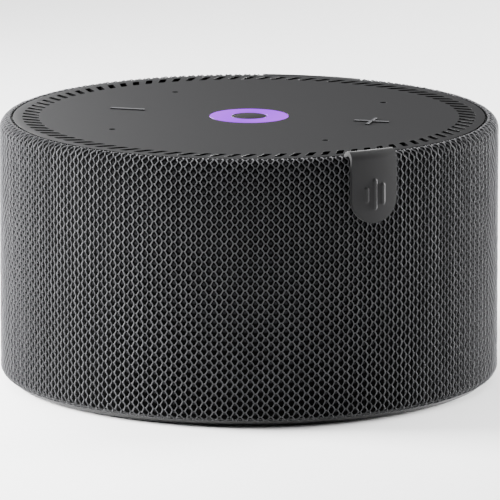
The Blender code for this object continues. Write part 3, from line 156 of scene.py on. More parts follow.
def start_material(name, roughness, metallic=0.0, **sockets):
    """A material whose constants sit on its own shader; returns it, its tree and its shader."""
    material = bpy.data.materials.new(name)
    material.use_nodes = True
    tree = material.node_tree
    shader = tree.nodes["Principled BSDF"]
    shader.inputs["Roughness"].default_value = roughness
    shader.inputs["Metallic"].default_value = metallic
    for socket, value in sockets.items():
        shader.inputs[socket.replace("_", " ")].default_value = value
    return material, tree, shader


def maths(tree, operation, *values):
    """The result of a maths node on numbers or sockets."""
    return add_node(tree, "ShaderNodeMath", dict(enumerate(values)), operation=operation).outputs[0]


def mapped(tree, value, start=0.0, end=1.0, low=0.0, high=1.0):
    """A value's way from start to end, as a value from low to high."""
    inputs = {"Value": value, "From Min": start, "From Max": end, "To Min": low, "To Max": high}
    return add_node(tree, "ShaderNodeMapRange", inputs).outputs["Result"]


def mixed(tree, share, first, second):
    """The colour that lies a share of the way from one colour to another."""
    inputs = {"Factor": share, 6: first, 7: second}
    return add_node(tree, "ShaderNodeMix", inputs, data_type="RGBA").outputs[2]


def grain(tree, shader, size, colours, depth, detail=3.0):
    """Grain of a size in metres: a noise that mixes two colours and raises the surface by depth."""
    place = add_node(tree, "ShaderNodeTexCoord").outputs["Object"]
    inputs = {"Vector": place, "Scale": 1.0 / size, "Detail": detail}
    noise = add_node(tree, "ShaderNodeTexNoise", inputs).outputs["Fac"]
    colour = mixed(tree, noise, (*colours[0], 1), (*colours[1], 1))
    inputs = {"Height": noise, "Distance": depth, "Strength": 1.0}
    bump = add_node(tree, "ShaderNodeBump", inputs).outputs["Normal"]
    tree.links.new(colour, shader.inputs["Base Color"])
    tree.links.new(bump, shader.inputs["Normal"])


def around(radius, angle, height=0.0):
    """The point at an angle from the front, at a radius and a height."""
    turn = math.radians(angle)
    return Vector((radius * math.sin(turn), -radius * math.cos(turn), height))


def facing(angle):
    """The turn about Z that brings +X to point outwards at an angle from the front."""
    return Matrix.Rotation(math.radians(angle - 90.0), 4, "Z")


def arc(centre, radius, start, end, steps):
    """Points on an arc of a profile; 0 degrees points outwards and 90 points up."""
    turns = (math.radians(start + (end - start) * i / steps) for i in range(steps + 1))
    return [(centre[0] + radius * math.cos(t), centre[1] + radius * math.sin(t)) for t in turns]


def sleeve_profile(inset, corner_steps=10, hem_steps=8, tucked=True):
    """The sleeve's outside, a little inside it: out of the seam, over the corner, down to the hem."""
    corner = (TOP_RADIUS + FIT_GAP, RIM_CORNER + RIM_LIFT)
    over = arc(corner, RIM_WIDTH - inset, RIM_TURN if tucked else 90, 0, corner_steps)
    if tucked:
        seam = (TOP_RADIUS + FIT_GAP + RIM_TUCK, BODY_HEIGHT + RIM_LIFT - RIM_TUCK)
        over = arc(seam, RIM_TUCK - inset, 190, RIM_TURN, 5)[:-1] + over
    centre = (OUTER_RADIUS - HEM_CORNER, HEM_RISE)
    return over + arc(centre, HEM_CORNER - inset, 0, -HEM_ANGLE, hem_steps)


def finish_mesh(mesh, sharp=35.0):
    """Smooth the shading except where faces meet at more than an angle."""
    mesh.shade_smooth()
    mesh.set_sharp_from_angle(angle=math.radians(sharp))


def add_piece(name, mesh, material, body, slot, *nodes):
    """Put a finished mesh in the scene: its material, the body that it rides on, what it replaces."""
    piece = bpy.data.objects.new(name, mesh)
    bpy.context.scene.collection.objects.link(piece)
    if material:
        mesh.materials.clear()
        mesh.materials.append(material)
    if body:
        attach(piece, body)
    if nodes:
        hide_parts(*nodes)
    return piece


def mesh_from(name, build):
    """A mesh made by a function that fills a bmesh."""
    bm = bmesh.new()
    build(bm)
    mesh = bpy.data.meshes.new(name)
    bm.to_mesh(mesh)
    bm.free()
    return mesh


def turned(name, profile, segments=192, closed=True):
    """A solid of revolution; the profile runs down its outer side, or from axis to axis."""

    def build(bm):
        points = [bm.verts.new((r, 0.0, z)) for r, z in profile]
        pairs = list(zip(points, points[1:]))
        if closed:
            pairs.append((points[-1], points[0]))
        edges = [bm.edges.new(pair) for pair in pairs]
        bmesh.ops.spin(
            bm,
            geom=points + edges,
            cent=(0, 0, 0),
            axis=(0, 0, 1),
            angle=2 * math.pi,
            steps=segments,
            use_merge=True,
        )
        bmesh.ops.remove_doubles(bm, verts=bm.verts, dist=MM / 1000)
        bmesh.ops.recalc_face_normals(bm, faces=bm.faces)

    mesh = mesh_from(name, build)
    finish_mesh(mesh)
    return mesh


def prism(bm, outline, levels, matrix=Matrix.Identity(4)):
    """A closed prism through levels, each (height, outwards growth), of a star-shaped outline."""
    rings = []
    for height, growth in levels:
        ring = []
        for x, y in outline:
            reach = math.hypot(x, y)
            scale = (reach + growth) / reach
            ring.append(bm.verts.new(matrix @ Vector((x * scale, y * scale, height))))
        rings.append(ring)
    close_rings(bm, rings)


def inset_prism(bm, outline, levels, matrix):
    """A closed prism through levels, each (height, growth along its sides' normals)."""
    count = len(outline)
    grown = []
    for height, growth in levels:
        ring = []
        for i, point in enumerate(outline):
            before = (Vector(point) - Vector(outline[i - 1])).normalized()
            after = (Vector(outline[(i + 1) % count]) - Vector(point)).normalized()
            first, second = Vector((before.y, -before.x)), Vector((after.y, -after.x))
            shift = (first + second) / (1 + first.dot(second))
            ring.append((*(Vector(point) + shift * growth), height))
        grown.append(ring)
    rings = [[bm.verts.new(matrix @ Vector(point)) for point in ring] for ring in grown]
    close_rings(bm, rings)


def close_rings(bm, rings):
    """Skin a stack of equal rings of vertices and close both ends."""
    faces = [bm.faces.new(rings[0][::-1]), bm.faces.new(rings[-1])]
    for low, high in zip(rings, rings[1:]):
        for i in range(len(low)):
            j = (i + 1) % len(low)
            faces.append(bm.faces.new((low[i], low[j], high[j], high[i])))
    bmesh.ops.recalc_face_normals(bm, faces=faces)


def circle(radius, count):
    """A round outline."""
    turns = (2 * math.pi * i / count for i in range(count))
    return [(radius * math.cos(t), radius * math.sin(t)) for t in turns]


def rounded_rectangle(width, height, radius, steps=6):
    """A centred rectangle with round corners."""
    x, y = width / 2 - radius, height / 2 - radius
    corners = ((x, y, 0), (-x, y, 90), (-x, -y, 180), (x, -y, 270))
    return [p for cx, cy, start in corners for p in arc((cx, cy), radius, start, start + 90, steps)]


def spare_object(name, mesh):
    """An object that only feeds a modifier, and is removed afterwards."""
    spare = bpy.data.objects.new(name, mesh)
    bpy.context.scene.collection.objects.link(spare)
    return spare


def evaluated_mesh(piece, name):
    """The piece's mesh with its modifiers, as a plain mesh; the piece itself is removed."""
    graph = bpy.context.evaluated_depsgraph_get()
    mesh = bpy.data.meshes.new_from_object(piece.evaluated_get(graph))
    mesh.name = name
    bpy.data.objects.remove(piece)
    return mesh


def new_node_tree(name, sockets):
    """A geometry node tree with a geometry input and output, and named inputs."""
    tree = bpy.data.node_groups.new(name, "GeometryNodeTree")
    tree.interface.new_socket("Geometry", in_out="OUTPUT", socket_type="NodeSocketGeometry")
    tree.interface.new_socket("Geometry", in_out="INPUT", socket_type="NodeSocketGeometry")
    for label, kind in sockets.items():
        tree.interface.new_socket(label, in_out="INPUT", socket_type="NodeSocket" + kind)
    return tree, tree.nodes.new("NodeGroupInput").outputs


def run_tree(piece, tree, values):
    """Put a node tree on a piece as a modifier, with its inputs set by identifier."""
    modifier = piece.modifiers.new(tree.name, "NODES")
    modifier.node_group = tree
    found = {s.name: s.identifier for s in tree.interface.items_tree if s.in_out == "INPUT"}
    for label, value in values.items():
        modifier[found[label]] = value


# ---------------------------------------------------------------- finishes
def touch_plastic():
    """Spark-textured ABS, as moulded: dark grey, and matt enough to turn light into a soft fade."""
    colours = bpy.context.scene.hub_colours
    material, tree, shader = start_material(
        "spark_textured_abs", PAINT_ROUGHNESS, Specular_IOR_Level=PAINT_GLOSS
    )
    base = Vector(colours.plastic)
    # A spark texture's grain is about 0.1 mm; it is drawn at 0.25 mm to show at all.
    grain(tree, shader, 0.25 * MM, (base * 0.90, base * 1.10), 0.004 * MM)
    return material


def top_with_painted_light():
    """Grey top with painted light: slot walls and sign walls are coloured near black as painted shade, and
    sign crests are coloured paler as a painted highlight.
    """
    material = touch_plastic()
    material.name = "grey_paint_on_black_abs"
    tree = material.node_tree
    shader = tree.nodes["Principled BSDF"]
    grey = shader.inputs["Base Color"].links[0].from_socket
    place = add_node(tree, "ShaderNodeTexCoord").outputs["Object"]
    level = add_node(tree, "ShaderNodeSeparateXYZ", {0: place}).outputs["Z"]
    # Below the top surface the slot walls are coloured near black as painted shade, and are matt and
    # without gloss there.
    above = mapped(tree, level, TOP_SURFACE - SHADE_FADE_DEEP, TOP_SURFACE - SHADE_FADE_SHALLOW)
    # The middle of a sign's wall, and half the height on it that is coloured near black as painted shade.
    wall = maths(tree, "COMPARE", level, TOP_SURFACE + 0.35 * SIGN_RISE, 0.33 * SIGN_RISE)
    unshaded_share = maths(tree, "SUBTRACT", above, wall)
    # The sign crests are coloured paler as a painted highlight.
    painted_highlight = maths(tree, "GREATER_THAN", level, TOP_SURFACE + 0.7 * SIGN_RISE)
    paint = mixed(tree, painted_highlight, grey, (*linear("#3e3e40"), 1))
    colour = mixed(tree, unshaded_share, (*linear("#0a0a0a"), 1), paint)
    roughness = mapped(tree, unshaded_share, low=0.95, high=PAINT_ROUGHNESS)
    gloss = maths(tree, "MULTIPLY", unshaded_share, PAINT_GLOSS)
    tree.links.new(colour, shader.inputs["Base Color"])
    tree.links.new(roughness, shader.inputs["Roughness"])
    tree.links.new(gloss, shader.inputs["Specular IOR Level"])
    return material


def black_plastic():
    """Moulded ABS in black, with a fine gloss level between matt and satin."""
    material, tree, shader = start_material("moulded_abs_black", 0.45, IOR=1.53)
    grain(tree, shader, 0.4 * MM, (linear("#101011"), linear("#161617")), 0.003 * MM)
    return material


def yarn_polyester():
    """Textured polyester yarn: pale grey, matt, with the soft glow of loose fibres at its edges."""
    colours = bpy.context.scene.hub_colours
    material, tree, shader = start_material(
        "textured_polyester_yarn", 0.85, Specular_IOR_Level=0.12, Sheen_Weight=0.1
    )
    base = Vector(colours.yarn)
    # Fibre bundles are about 0.1 mm; the mottling is drawn at 0.5 mm so that stitches differ.
    grain(tree, shader, 0.5 * MM, (base * 0.72, base * 1.28), 0.02 * MM, 5.0)
    return material


def backing_cloth():
    """Dark inner face of the spacer knit: a soft loop lifts in each cell, and its colour is painted shade,
    near black at the cell's corners and lighter in its middle.
    """
    colours = bpy.context.scene.hub_colours
    material, tree, shader = start_material("spacer_knit_backing", 0.95, Specular_IOR_Level=0.05)
    place = add_node(tree, "ShaderNodeUVMap", uv_map="Knit").outputs["UV"]
    axes = add_node(tree, "ShaderNodeSeparateXYZ", {0: place}).outputs
    waves = []
    # The loops' middles lie a quarter of a pair along, and a little above a row's start.
    for axis, shift in (("X", -0.25), ("Y", -0.07)):
        angle = maths(tree, "MULTIPLY", maths(tree, "ADD", axes[axis], shift), 2 * math.pi)
        waves.append(maths(tree, "COSINE", angle))
    height = mapped(tree, maths(tree, "MULTIPLY", *waves), 0.25, 0.95)
    # Single filaments, drawn at 0.2 mm, break up each loop.
    place = add_node(tree, "ShaderNodeTexCoord").outputs["Object"]
    inputs = {"Vector": place, "Scale": 1 / (0.2 * MM), "Detail": 4.0}
    fibres = add_node(tree, "ShaderNodeTexNoise", inputs).outputs["Fac"]
    loops = maths(tree, "MULTIPLY", height, fibres)
    # The colour runs from near black at the cells' corners to the loop colour in their middles, as painted
    # shade under the yarns.
    colour = mixed(tree, loops, (*linear("#020202"), 1), (*colours.backing, 1))
    bump = add_node(tree, "ShaderNodeBump", {"Height": loops, "Distance": 0.15 * MM})
    tree.links.new(colour, shader.inputs["Base Color"])
    tree.links.new(bump.outputs["Normal"], shader.inputs["Normal"])
    return material


def tag_silicone():
    """Soft-touch silicone: an even dark grey with a faint bloom, so its edges catch light."""
    colours = bpy.context.scene.hub_colours
    material, tree, shader = start_material(
        "soft_touch_silicone", 0.6, Specular_IOR_Level=0.2, Sheen_Weight=0.15, Sheen_Roughness=0.3
    )
    base = Vector(colours.silicone)
    grain(tree, shader, 0.6 * MM, (base * 0.94, base * 1.06), 0.003 * MM)
    return material


def foot_silicone():
    """Moulded silicone foot: near black, matt, and slightly dusty from its mould."""
    material, tree, shader = start_material("moulded_silicone_foot", 0.8, IOR=1.41)
    grain(tree, shader, 0.8 * MM, (linear("#18181a"), linear("#222224")), 0.01 * MM)
    return material


def lit_guide():
    """Translucent acrylic light guide, lit from below: violet, a little paler towards its ends."""
    colours = bpy.context.scene.hub_colours
    material, tree, shader = start_material("lit_acrylic_guide", 0.35, Specular_IOR_Level=0.15)
    place = add_node(tree, "ShaderNodeTexCoord").outputs["Object"]
    across = add_node(tree, "ShaderNodeSeparateXYZ", {0: place}).outputs["X"]
    reach = mapped(tree, maths(tree, "ABSOLUTE", across), 0.0, LIGHT_RADIUS)
    glow = mixed(tree, reach, (*colours.light, 1), (*colours.light_ends, 1))
    tree.links.new(glow, shader.inputs["Emission Color"])
    shader.inputs["Base Color"].default_value = (*linear("#0c0418"), 1)
    shader.inputs["Emission Strength"].default_value = colours.light_strength
    return material


# Finishes of the carried-over inner pieces, by the record's slot: the name of the real material,
# two colours that its grain mixes, roughness, metal, grain in mm and its relief in mm.
INNER_FINISHES = {
    "black_plastic": ("moulded_abs_inner", "#121213", "#19191a", 0.5, 0.0, 0.4, 0.003),
    "nickel_plate": ("nickel_plated_steel", "#b9b5aa", "#cdc9be", 0.28, 1.0, 0.3, 0.001),
    "steel": ("zinc_plated_steel", "#b4b6ba", "#c6c8cc", 0.34, 1.0, 0.5, 0.002),
    "aluminium": ("milled_aluminium", "#c9cacc", "#d8d9db", 0.38, 1.0, 0.4, 0.002),
    "copper": ("enamelled_copper", "#b8683a", "#cd7c48", 0.3, 1.0, 0.2, 0.004),
    "ferrite": ("sintered_ferrite", "#3a3836", "#474543", 0.62, 0.0, 0.5, 0.01),
    "cone_paper": ("pressed_pulp_paper", "#2a2928", "#353433", 0.9, 0.0, 0.6, 0.03),
    "spider_cloth": ("resin_dipped_cloth", "#b98f4c", "#caa25f", 0.85, 0.0, 0.5, 0.03),
    "circuit_board": ("green_solder_mask", "#1a5a36", "#216b41", 0.35, 0.0, 1.0, 0.002),
    "chip_black": ("moulding_compound", "#1c1c1d", "#252526", 0.55, 0.0, 0.2, 0.002),
    "led_white": ("led_package", "#e8e4d6", "#f2efe4", 0.35, 0.0, 0.4, 0.001),
    "foam": ("closed_cell_foam", "#4a4a4d", "#5a5a5d", 0.95, 0.0, 0.4, 0.04),
    "thermal_grey": ("silicone_gap_pad", "#8f97a3", "#9ea6b2", 0.9, 0.0, 0.5, 0.01),
    "ribbon_white": ("polyester_flat_cable", "#dcdcd8", "#e8e8e4", 0.4, 0.0, 0.5, 0.002),
    "switch_red": ("red_nylon", "#a81f1c", "#bd2a26", 0.45, 0.0, 0.4, 0.002),
    "soft_rubber": ("moulded_silicone_inner", "#222224", "#2c2c2e", 0.8, 0.0, 0.6, 0.006),
    "top_plastic": ("moulded_abs_grey", "#4b4b4d", "#555557", 0.5, 0.0, 0.3, 0.004),
}


def inner_finish(slot):
    """A grained material for an inner piece's slot."""
    name, dark, pale, roughness, metallic, size, relief = INNER_FINISHES[slot]
    material, tree, shader = start_material(name, roughness, metallic)
    grain(tree, shader, size * MM, (linear(dark), linear(pale)), relief * MM)
    return material


# ---------------------------------------------------------------- node trees
def swung(tree, vector, angle):
    """A vector turned about Z by an angle."""
    inputs = {"Vector": vector, "Angle": angle}
    return add_node(tree, "ShaderNodeVectorRotate", inputs, rotation_type="Z_AXIS").outputs[0]


def moved_to(tree, geometry, position):
    """A geometry with its points at other positions."""
    inputs = {"Geometry": geometry, "Position": position}
    return add_node(tree, "GeometryNodeSetPosition", inputs).outputs[0]


def turned_copies(tree, count, shape, angle):
    """Realized copies of a shape, each turned about Z by an angle."""
    points = add_node(tree, "GeometryNodePoints", {"Count": count}).outputs[0]
    spin = add_node(tree, "ShaderNodeCombineXYZ", {"Z": angle}).outputs[0]
    inputs = {"Points": points, "Instance": shape, "Rotation": spin}
    copies = add_node(tree, "GeometryNodeInstanceOnPoints", inputs).outputs[0]
    return add_node(tree, "GeometryNodeRealizeInstances", {0: copies}).outputs[0]


def knit_tree(material):
    """Pairs of zigzag yarns: they meet and part in turn, so that they leave a net of cells."""
    floats = (
        "First Angle",
        "Pair Angle",
        "Rows",
        "Swing",
        "Stitch Reach",
        "Yarn Radius",
        "Wander",
        "Notch Depth",
        "Notch Half Width",
    )
    sockets = {"Pairs": "Int", "Points": "Int", **dict.fromkeys(floats, "Float")}
    tree, given = new_node_tree("Knit Net", sockets)
    line = add_node(tree, "GeometryNodeMeshToCurve", {"Mesh": given["Geometry"]}).outputs[0]
    inputs = {"Curve": line, "Count": given["Points"]}
    strand = add_node(tree, "GeometryNodeResampleCurve", inputs).outputs[0]
    along = add_node(tree, "GeometryNodeSplineParameter").outputs["Factor"]
    phase = maths(tree, "MULTIPLY", along, given["Rows"])
    place = add_node(tree, "GeometryNodeInputPosition").outputs[0]
    pair = add_node(tree, "GeometryNodeJoinGeometry")
    for share in (0.0, 0.5):
        # The second yarn stands half a pair aside and half a row on, so the two meet and part.
        wave = zigzag(tree, maths(tree, "ADD", phase, share))
        reach = maths(tree, "MULTIPLY", maths(tree, "ADD", wave, -0.5), given["Swing"])
        turn = maths(tree, "MULTIPLY_ADD", given["Pair Angle"], share, reach)
        tree.links.new(moved_to(tree, strand, swung(tree, place, turn)), pair.inputs[0])
    tree.links.new(stitches(tree, given, line, place), pair.inputs[0])
    index = add_node(tree, "GeometryNodeInputIndex").outputs[0]
    angle = maths(tree, "MULTIPLY_ADD", index, given["Pair Angle"], given["First Angle"])
    net = turned_copies(tree, given["Pairs"], pair.outputs[0], angle)
    # Hand and heat leave the stitches slightly uneven.
    inputs = {"Vector": place, "Scale": 1 / UNEVEN_SIZE, "Detail": 2.0}
    drift = add_node(tree, "ShaderNodeTexNoise", inputs).outputs["Color"]
    inputs = {0: drift, 1: (0.5, 0.5, 0.5)}
    centred = add_node(tree, "ShaderNodeVectorMath", inputs, operation="SUBTRACT").outputs[0]
    inputs = {0: centred, "Scale": given["Wander"]}
    shift = add_node(tree, "ShaderNodeVectorMath", inputs, operation="SCALE").outputs[0]
    inputs = {"Geometry": net, "Offset": shift}
    uneven = add_node(tree, "GeometryNodeSetPosition", inputs).outputs[0]
    # The net stops where the tag comes over the rim.
    local = swung(tree, place, math.radians(90.0 - TAG_ANGLE))
    axes = add_node(tree, "ShaderNodeSeparateXYZ", {0: local}).outputs
    notch = maths(tree, "LESS_THAN", maths(tree, "ABSOLUTE", axes["Y"]), given["Notch Half Width"])
    for axis, operation, limit in (
        ("X", "LESS_THAN", given["Notch Depth"]),
        ("X", "GREATER_THAN", 0.0),
        ("Z", "GREATER_THAN", RIM_CORNER),
    ):
        notch = maths(tree, "MULTIPLY", notch, maths(tree, operation, axes[axis], limit))
    inputs = {"Geometry": uneven, "Selection": notch}
    trimmed = add_node(tree, "GeometryNodeDeleteGeometry", inputs).outputs[0]
    inputs = {"Resolution": 4, "Radius": given["Yarn Radius"]}
    section = add_node(tree, "GeometryNodeCurvePrimitiveCircle", inputs).outputs[0]
    inputs = {"Curve": trimmed, "Profile Curve": section, "Fill Caps": True}
    tube = add_node(tree, "GeometryNodeCurveToMesh", inputs).outputs[0]
    finish_tree(tree, tube, material)
    return tree


def zigzag(tree, phase):
    """A zigzag from 0 to 1: it rises in a straight line, and falls slowly at first, then fast."""
    step = maths(tree, "FRACT", phase)
    shape = add_node(tree, "ShaderNodeFloatCurve", {"Value": step})
    points = shape.mapping.curves[0].points
    points[0].location = (0.0, 0.0)
    points[1].location = (1.0, 0.0)
    for place in ((0.42, 0.86), (0.5, 1.0), (0.57, 0.97), (0.78, 0.6), (0.93, 0.1)):
        points.new(*place)
    for point in points:
        point.handle_type = "VECTOR"
    shape.mapping.update()
    return shape.outputs[0]


def stitches(tree, given, line, place):
    """Short stitches that hold two yarns together wherever they turn towards each other."""
    inputs = {"Curve": line, "Count": maths(tree, "MULTIPLY_ADD", given["Rows"], 2.0, 1.0)}
    turns = add_node(tree, "GeometryNodeResampleCurve", inputs).outputs[0]
    index = add_node(tree, "GeometryNodeInputIndex").outputs[0]
    # Odd turns lie a quarter of a pair along, and even ones three quarters.
    share = mapped(tree, maths(tree, "MODULO", index, 2.0), low=0.75, high=0.25)
    angle = maths(tree, "MULTIPLY", share, given["Pair Angle"])
    points = moved_to(tree, turns, swung(tree, place, angle))
    ends = {}
    for name, side in (("Start", -1.0), ("End", 1.0)):
        across = maths(tree, "MULTIPLY", given["Stitch Reach"], side)
        ends[name] = add_node(tree, "ShaderNodeCombineXYZ", {"X": -STITCH_DEPTH, "Y": across}).outputs[0]
    stitch = add_node(tree, "GeometryNodeCurvePrimitiveLine", ends).outputs[0]
    inputs = {"Points": points, "Instance": stitch}
    placed = add_node(tree, "GeometryNodeInstanceOnPoints", inputs).outputs[0]
    return add_node(tree, "GeometryNodeRealizeInstances", {0: placed}).outputs[0]


def finish_tree(tree, geometry, material):
    """End a tree: realized, smooth, with its material."""
    plain = add_node(tree, "GeometryNodeRealizeInstances", {0: geometry}).outputs[0]
    smooth = add_node(tree, "GeometryNodeSetShadeSmooth", {"Geometry": plain}).outputs[0]
    dressed = add_node(tree, "GeometryNodeSetMaterial", {"Geometry": smooth, "Material": material})
    add_node(tree, "NodeGroupOutput", {0: dressed.outputs[0]})


def slotted_tree(material):
    """Cuts a ring of equal slots, and one set of other openings, through a round panel."""
    sockets = {"Slots": "Int", "Slot": "Object", "Other Openings": "Object"}
    tree, given = new_node_tree("Slotted Top", sockets)
    shape, openings = (
        add_node(tree, "GeometryNodeObjectInfo", {"Object": given[name]}).outputs["Geometry"]
        for name in ("Slot", "Other Openings")
    )
    index = add_node(tree, "GeometryNodeInputIndex").outputs[0]
    share = maths(tree, "DIVIDE", index, given["Slots"])
    slots = turned_copies(tree, given["Slots"], shape, maths(tree, "MULTIPLY", share, 2 * math.pi))
    panel = given["Geometry"]
    for cutter in (slots, openings):
        inputs = {"Mesh 1": panel, "Mesh 2": cutter}
        cut = add_node(
            tree, "GeometryNodeMeshBoolean", inputs, operation="DIFFERENCE", solver="EXACT"
        )
        panel = cut.outputs[0]
    finish_tree(tree, panel, material)
    return tree


# ---------------------------------------------------------------- what a user would change
def length(name, about, value):
    """A length that a user can change."""
    return bpy.props.FloatProperty(name=name, description=about, default=value, unit="LENGTH")


def colour(name, about, code):
    """A colour that a user can change, from its hex code."""
    return bpy.props.FloatVectorProperty(
        name=name, description=about, subtype="COLOR", default=linear(code)
    )


class HubSizes(bpy.types.PropertyGroup):
    """Sizes of the fabric and the details"""

    pairs: bpy.props.IntProperty(
        name="Yarn pairs", description="Pairs round the sleeve, a multiple of four", default=144
    )
    row_height: length("Stitch row", "Height of one row of cells", 1.83 * MM)
    yarn_radius: length("Yarn radius", "Half a yarn's thickness", 0.12 * MM)
    swing: length("Yarn swing", "How far a yarn swings aside", 0.50 * MM)
    wander: length("Unevenness", "How far stitches stray", 0.22 * MM)
    slots: bpy.props.IntProperty(name="Slots", description="Sound slots in the top", default=90)
    slot_width: length("Slot width", "Width of a sound slot", 1.3 * MM)
    emboss: length("Tag relief", "Height of the tag's bars", 0.25 * MM)


class HubColours(bpy.types.PropertyGroup):
    """Colours of the finishes"""

    yarn: colour("Yarn", "Face yarn", "#3e3e40")
    backing: colour("Backing", "Loops behind the net", "#2e2e30")
    plastic: colour("Plastic", "Touch top and rear panel", "#171718")
    silicone: colour("Tag", "Soft tag", "#131314")
    light: colour("Light", "Lit ring", "#9c10fa")
    light_ends: colour("Light ends", "Left and right of the ring", "#ac34fa")
    light_strength: bpy.props.FloatProperty(
        name="Light strength", description="Brightness of the ring", default=2.1
    )


# ---------------------------------------------------------------- pieces
class HUB_OT_stage(bpy.types.Operator):
    """Pale floor, soft studio lights and the camera"""

    bl_idname = "hub.stage"
    bl_label = "Stage"

    CAMERA_AZIMUTH = 16.0
    CAMERA_ELEVATION = 11.25
    CAMERA_DISTANCE = 1.505
    LENS = 550.0
    AIM_LEVEL = 25.3 * MM

    def execute(self, context):
        self.add_floor()
        world = context.scene.world or bpy.data.worlds.new("studio")
        context.scene.world = world
        world.use_nodes = True
        background = world.node_tree.nodes["Background"]
        background.inputs["Color"].default_value = (1.0, 1.0, 1.0, 1.0)
        background.inputs["Strength"].default_value = 0.05
        target = Vector((0.0, 0.0, self.AIM_LEVEL))
        # Two near boxes, on the left and behind it, fade across the top; a far, low one rakes the
        # fabric from behind on the right; the ceiling box lights the floor.
        self.add_light("left_box", -74.0, 20.0, 0.25, (0.12, 0.12), 5.6, target)
        self.add_light("rear_left_box", -135.0, 22.0, 0.40, (0.15, 0.15), 1.5, target)
        self.add_light("right_box", 134.0, 8.0, 0.80, (0.45, 0.30), 50.0, target)
        self.add_light("ceiling_box", 0.0, 90.0, 1.20, (1.80, 1.80), 35.0, target)
        self.add_camera(context, target)
        return {"FINISHED"}

    def add_floor(self):
        """A pale, matt floor."""
        material, tree, shader = start_material("painted_board_floor", 0.9)
        grain(tree, shader, 40 * MM, (linear("#f4f4f4"), linear("#f7f7f7")), 0.01 * MM)
        mesh = mesh_from(
            "floor", lambda bm: bmesh.ops.create_grid(bm, x_segments=1, y_segments=1, size=4.0)
        )
        mesh.materials.append(material)
        floor = bpy.data.objects.new("floor", mesh)
        bpy.context.scene.collection.objects.link(floor)

    def add_light(self, name, azimuth, elevation, distance, size, power, target):
        """A soft rectangular light that looks at the hub from an angle round it."""
        light = bpy.data.lights.new(name, "AREA")
        light.shape = "RECTANGLE"
        light.size, light.size_y = size
        light.energy = power
        lamp = bpy.data.objects.new(name, light)
        lift = math.radians(elevation)
        place = around(distance * math.cos(lift), azimuth, distance * math.sin(lift))
        lamp.location = target + place
        lamp.rotation_euler = (-place).to_track_quat("-Z", "Y").to_euler()
        bpy.context.scene.collection.objects.link(lamp)

    def add_camera(self, context, target):
        """A long lens, a little above the top."""
        data = bpy.data.cameras.new("camera")
        data.lens = self.LENS
        data.clip_end = 20.0
        data.shift_x = 0.002
        camera = bpy.data.objects.new("camera", data)
        lift = math.radians(self.CAMERA_ELEVATION)
        flat = self.CAMERA_DISTANCE * math.cos(lift)
        place = around(flat, self.CAMERA_AZIMUTH, self.CAMERA_DISTANCE * math.sin(lift))
        camera.location = target + place
        camera.rotation_euler = (-place).to_track_quat("-Z", "Y").to_euler()
        context.scene.collection.objects.link(camera)
        context.scene.camera = camera


class HUB_OT_top(bpy.types.Operator):
    """Touch top with its ring of slots, microphone holes and raised signs"""

    bl_idname = "hub.top"
    bl_label = "Touch top"

    CHAMFER = 0.015 * MM
    SIGN_EDGE = 0.12 * MM

    def execute(self, context):
        sizes = context.scene.hub_sizes
        under = TOP_SURFACE - TOP_THICKNESS
        edge = arc((TOP_RADIUS - TOP_BEVEL, TOP_SURFACE - TOP_BEVEL), TOP_BEVEL, 90, 0, 4)
        profile = [(0.0, TOP_SURFACE), *edge, (TOP_RADIUS, under), (0.0, under)]
        blank = spare_object("panel_blank", turned("panel_blank", profile, 240, closed=False))
        slot = spare_object("slot", mesh_from("slot", lambda bm: self.slot(bm, sizes.slot_width)))
        openings = spare_object("openings", mesh_from("openings", self.openings))
        paint = top_with_painted_light()
        tree = slotted_tree(paint)
        run_tree(blank, tree, {"Slots": sizes.slots, "Slot": slot, "Other Openings": openings})
        signs = spare_object("signs", mesh_from("signs", self.signs))
        join = blank.modifiers.new("Signs", "BOOLEAN")
        join.operation = "UNION"
        join.solver = "EXACT"
        join.object = signs
        mesh = evaluated_mesh(blank, "touch_top")
        bpy.data.objects.remove(signs)
        finish_mesh(mesh, 30.0)
        bpy.data.objects.remove(slot)
        bpy.data.objects.remove(openings)
        add_piece("touch_top", mesh, paint, "housing", "top_plastic", "top_panel")
        return {"FINISHED"}

    def levels(self, bottom):
        """A cutter's levels: straight, then flared so that the opening's edge is broken."""
        top = TOP_SURFACE + MM
        return [(bottom, 0.0), (TOP_SURFACE - self.CHAMFER, 0.0), (top, self.CHAMFER + MM)]

    def slot(self, bm, width):
        """One slanted slot at the front of the ring, its ends gently rounded."""
        outline = rounded_rectangle(SLOT_LENGTH, width, 0.28 * width, 3)
        lean = math.tan(math.radians(SLOT_SLANT))
        widen = 1 / math.cos(math.radians(SLOT_SLANT))
        slanted = [(x, y * widen - x * lean) for x, y in outline]
        matrix = facing(0) @ Matrix.Translation((SLOT_CIRCLE, 0, 0))
        prism(bm, slanted, self.levels(TOP_SURFACE - TOP_THICKNESS - MM), matrix)

    def openings(self, bm):
        """The light's opening and the microphone holes."""
        through = self.levels(TOP_SURFACE - TOP_THICKNESS - MM)
        prism(bm, circle(LIGHT_RADIUS + FIT_GAP / 3, 96), through)
        for angle in MIC_ANGLES:
            place = Matrix.Translation(around(MIC_CIRCLE, angle))
            prism(bm, circle(MIC_RADIUS, 24), through, place)

    def signs(self, bm):
        """The raised minus and plus, their upper edges broken."""
        arm, half = SIGN_LENGTH / 2, SIGN_WIDTH / 2
        top = TOP_SURFACE + SIGN_RISE
        levels = [(TOP_SURFACE - MM, 0.0), (top - self.SIGN_EDGE, 0.0), (top, -self.SIGN_EDGE)]
        minus = [(-arm, -half), (arm, -half), (arm, half), (-arm, half)]
        quarter = [(arm, -half), (arm, half), (half, half)]
        plus = []
        for turn in (0, 90, 180, 270):
            matrix = Matrix.Rotation(math.radians(turn), 2)
            plus += [tuple(matrix @ Vector(point)) for point in quarter]
        for outline, x in ((minus, -SIGN_CIRCLE), (plus, SIGN_CIRCLE)):
            inset_prism(bm, outline, levels, Matrix.Translation((x, 0, 0)))


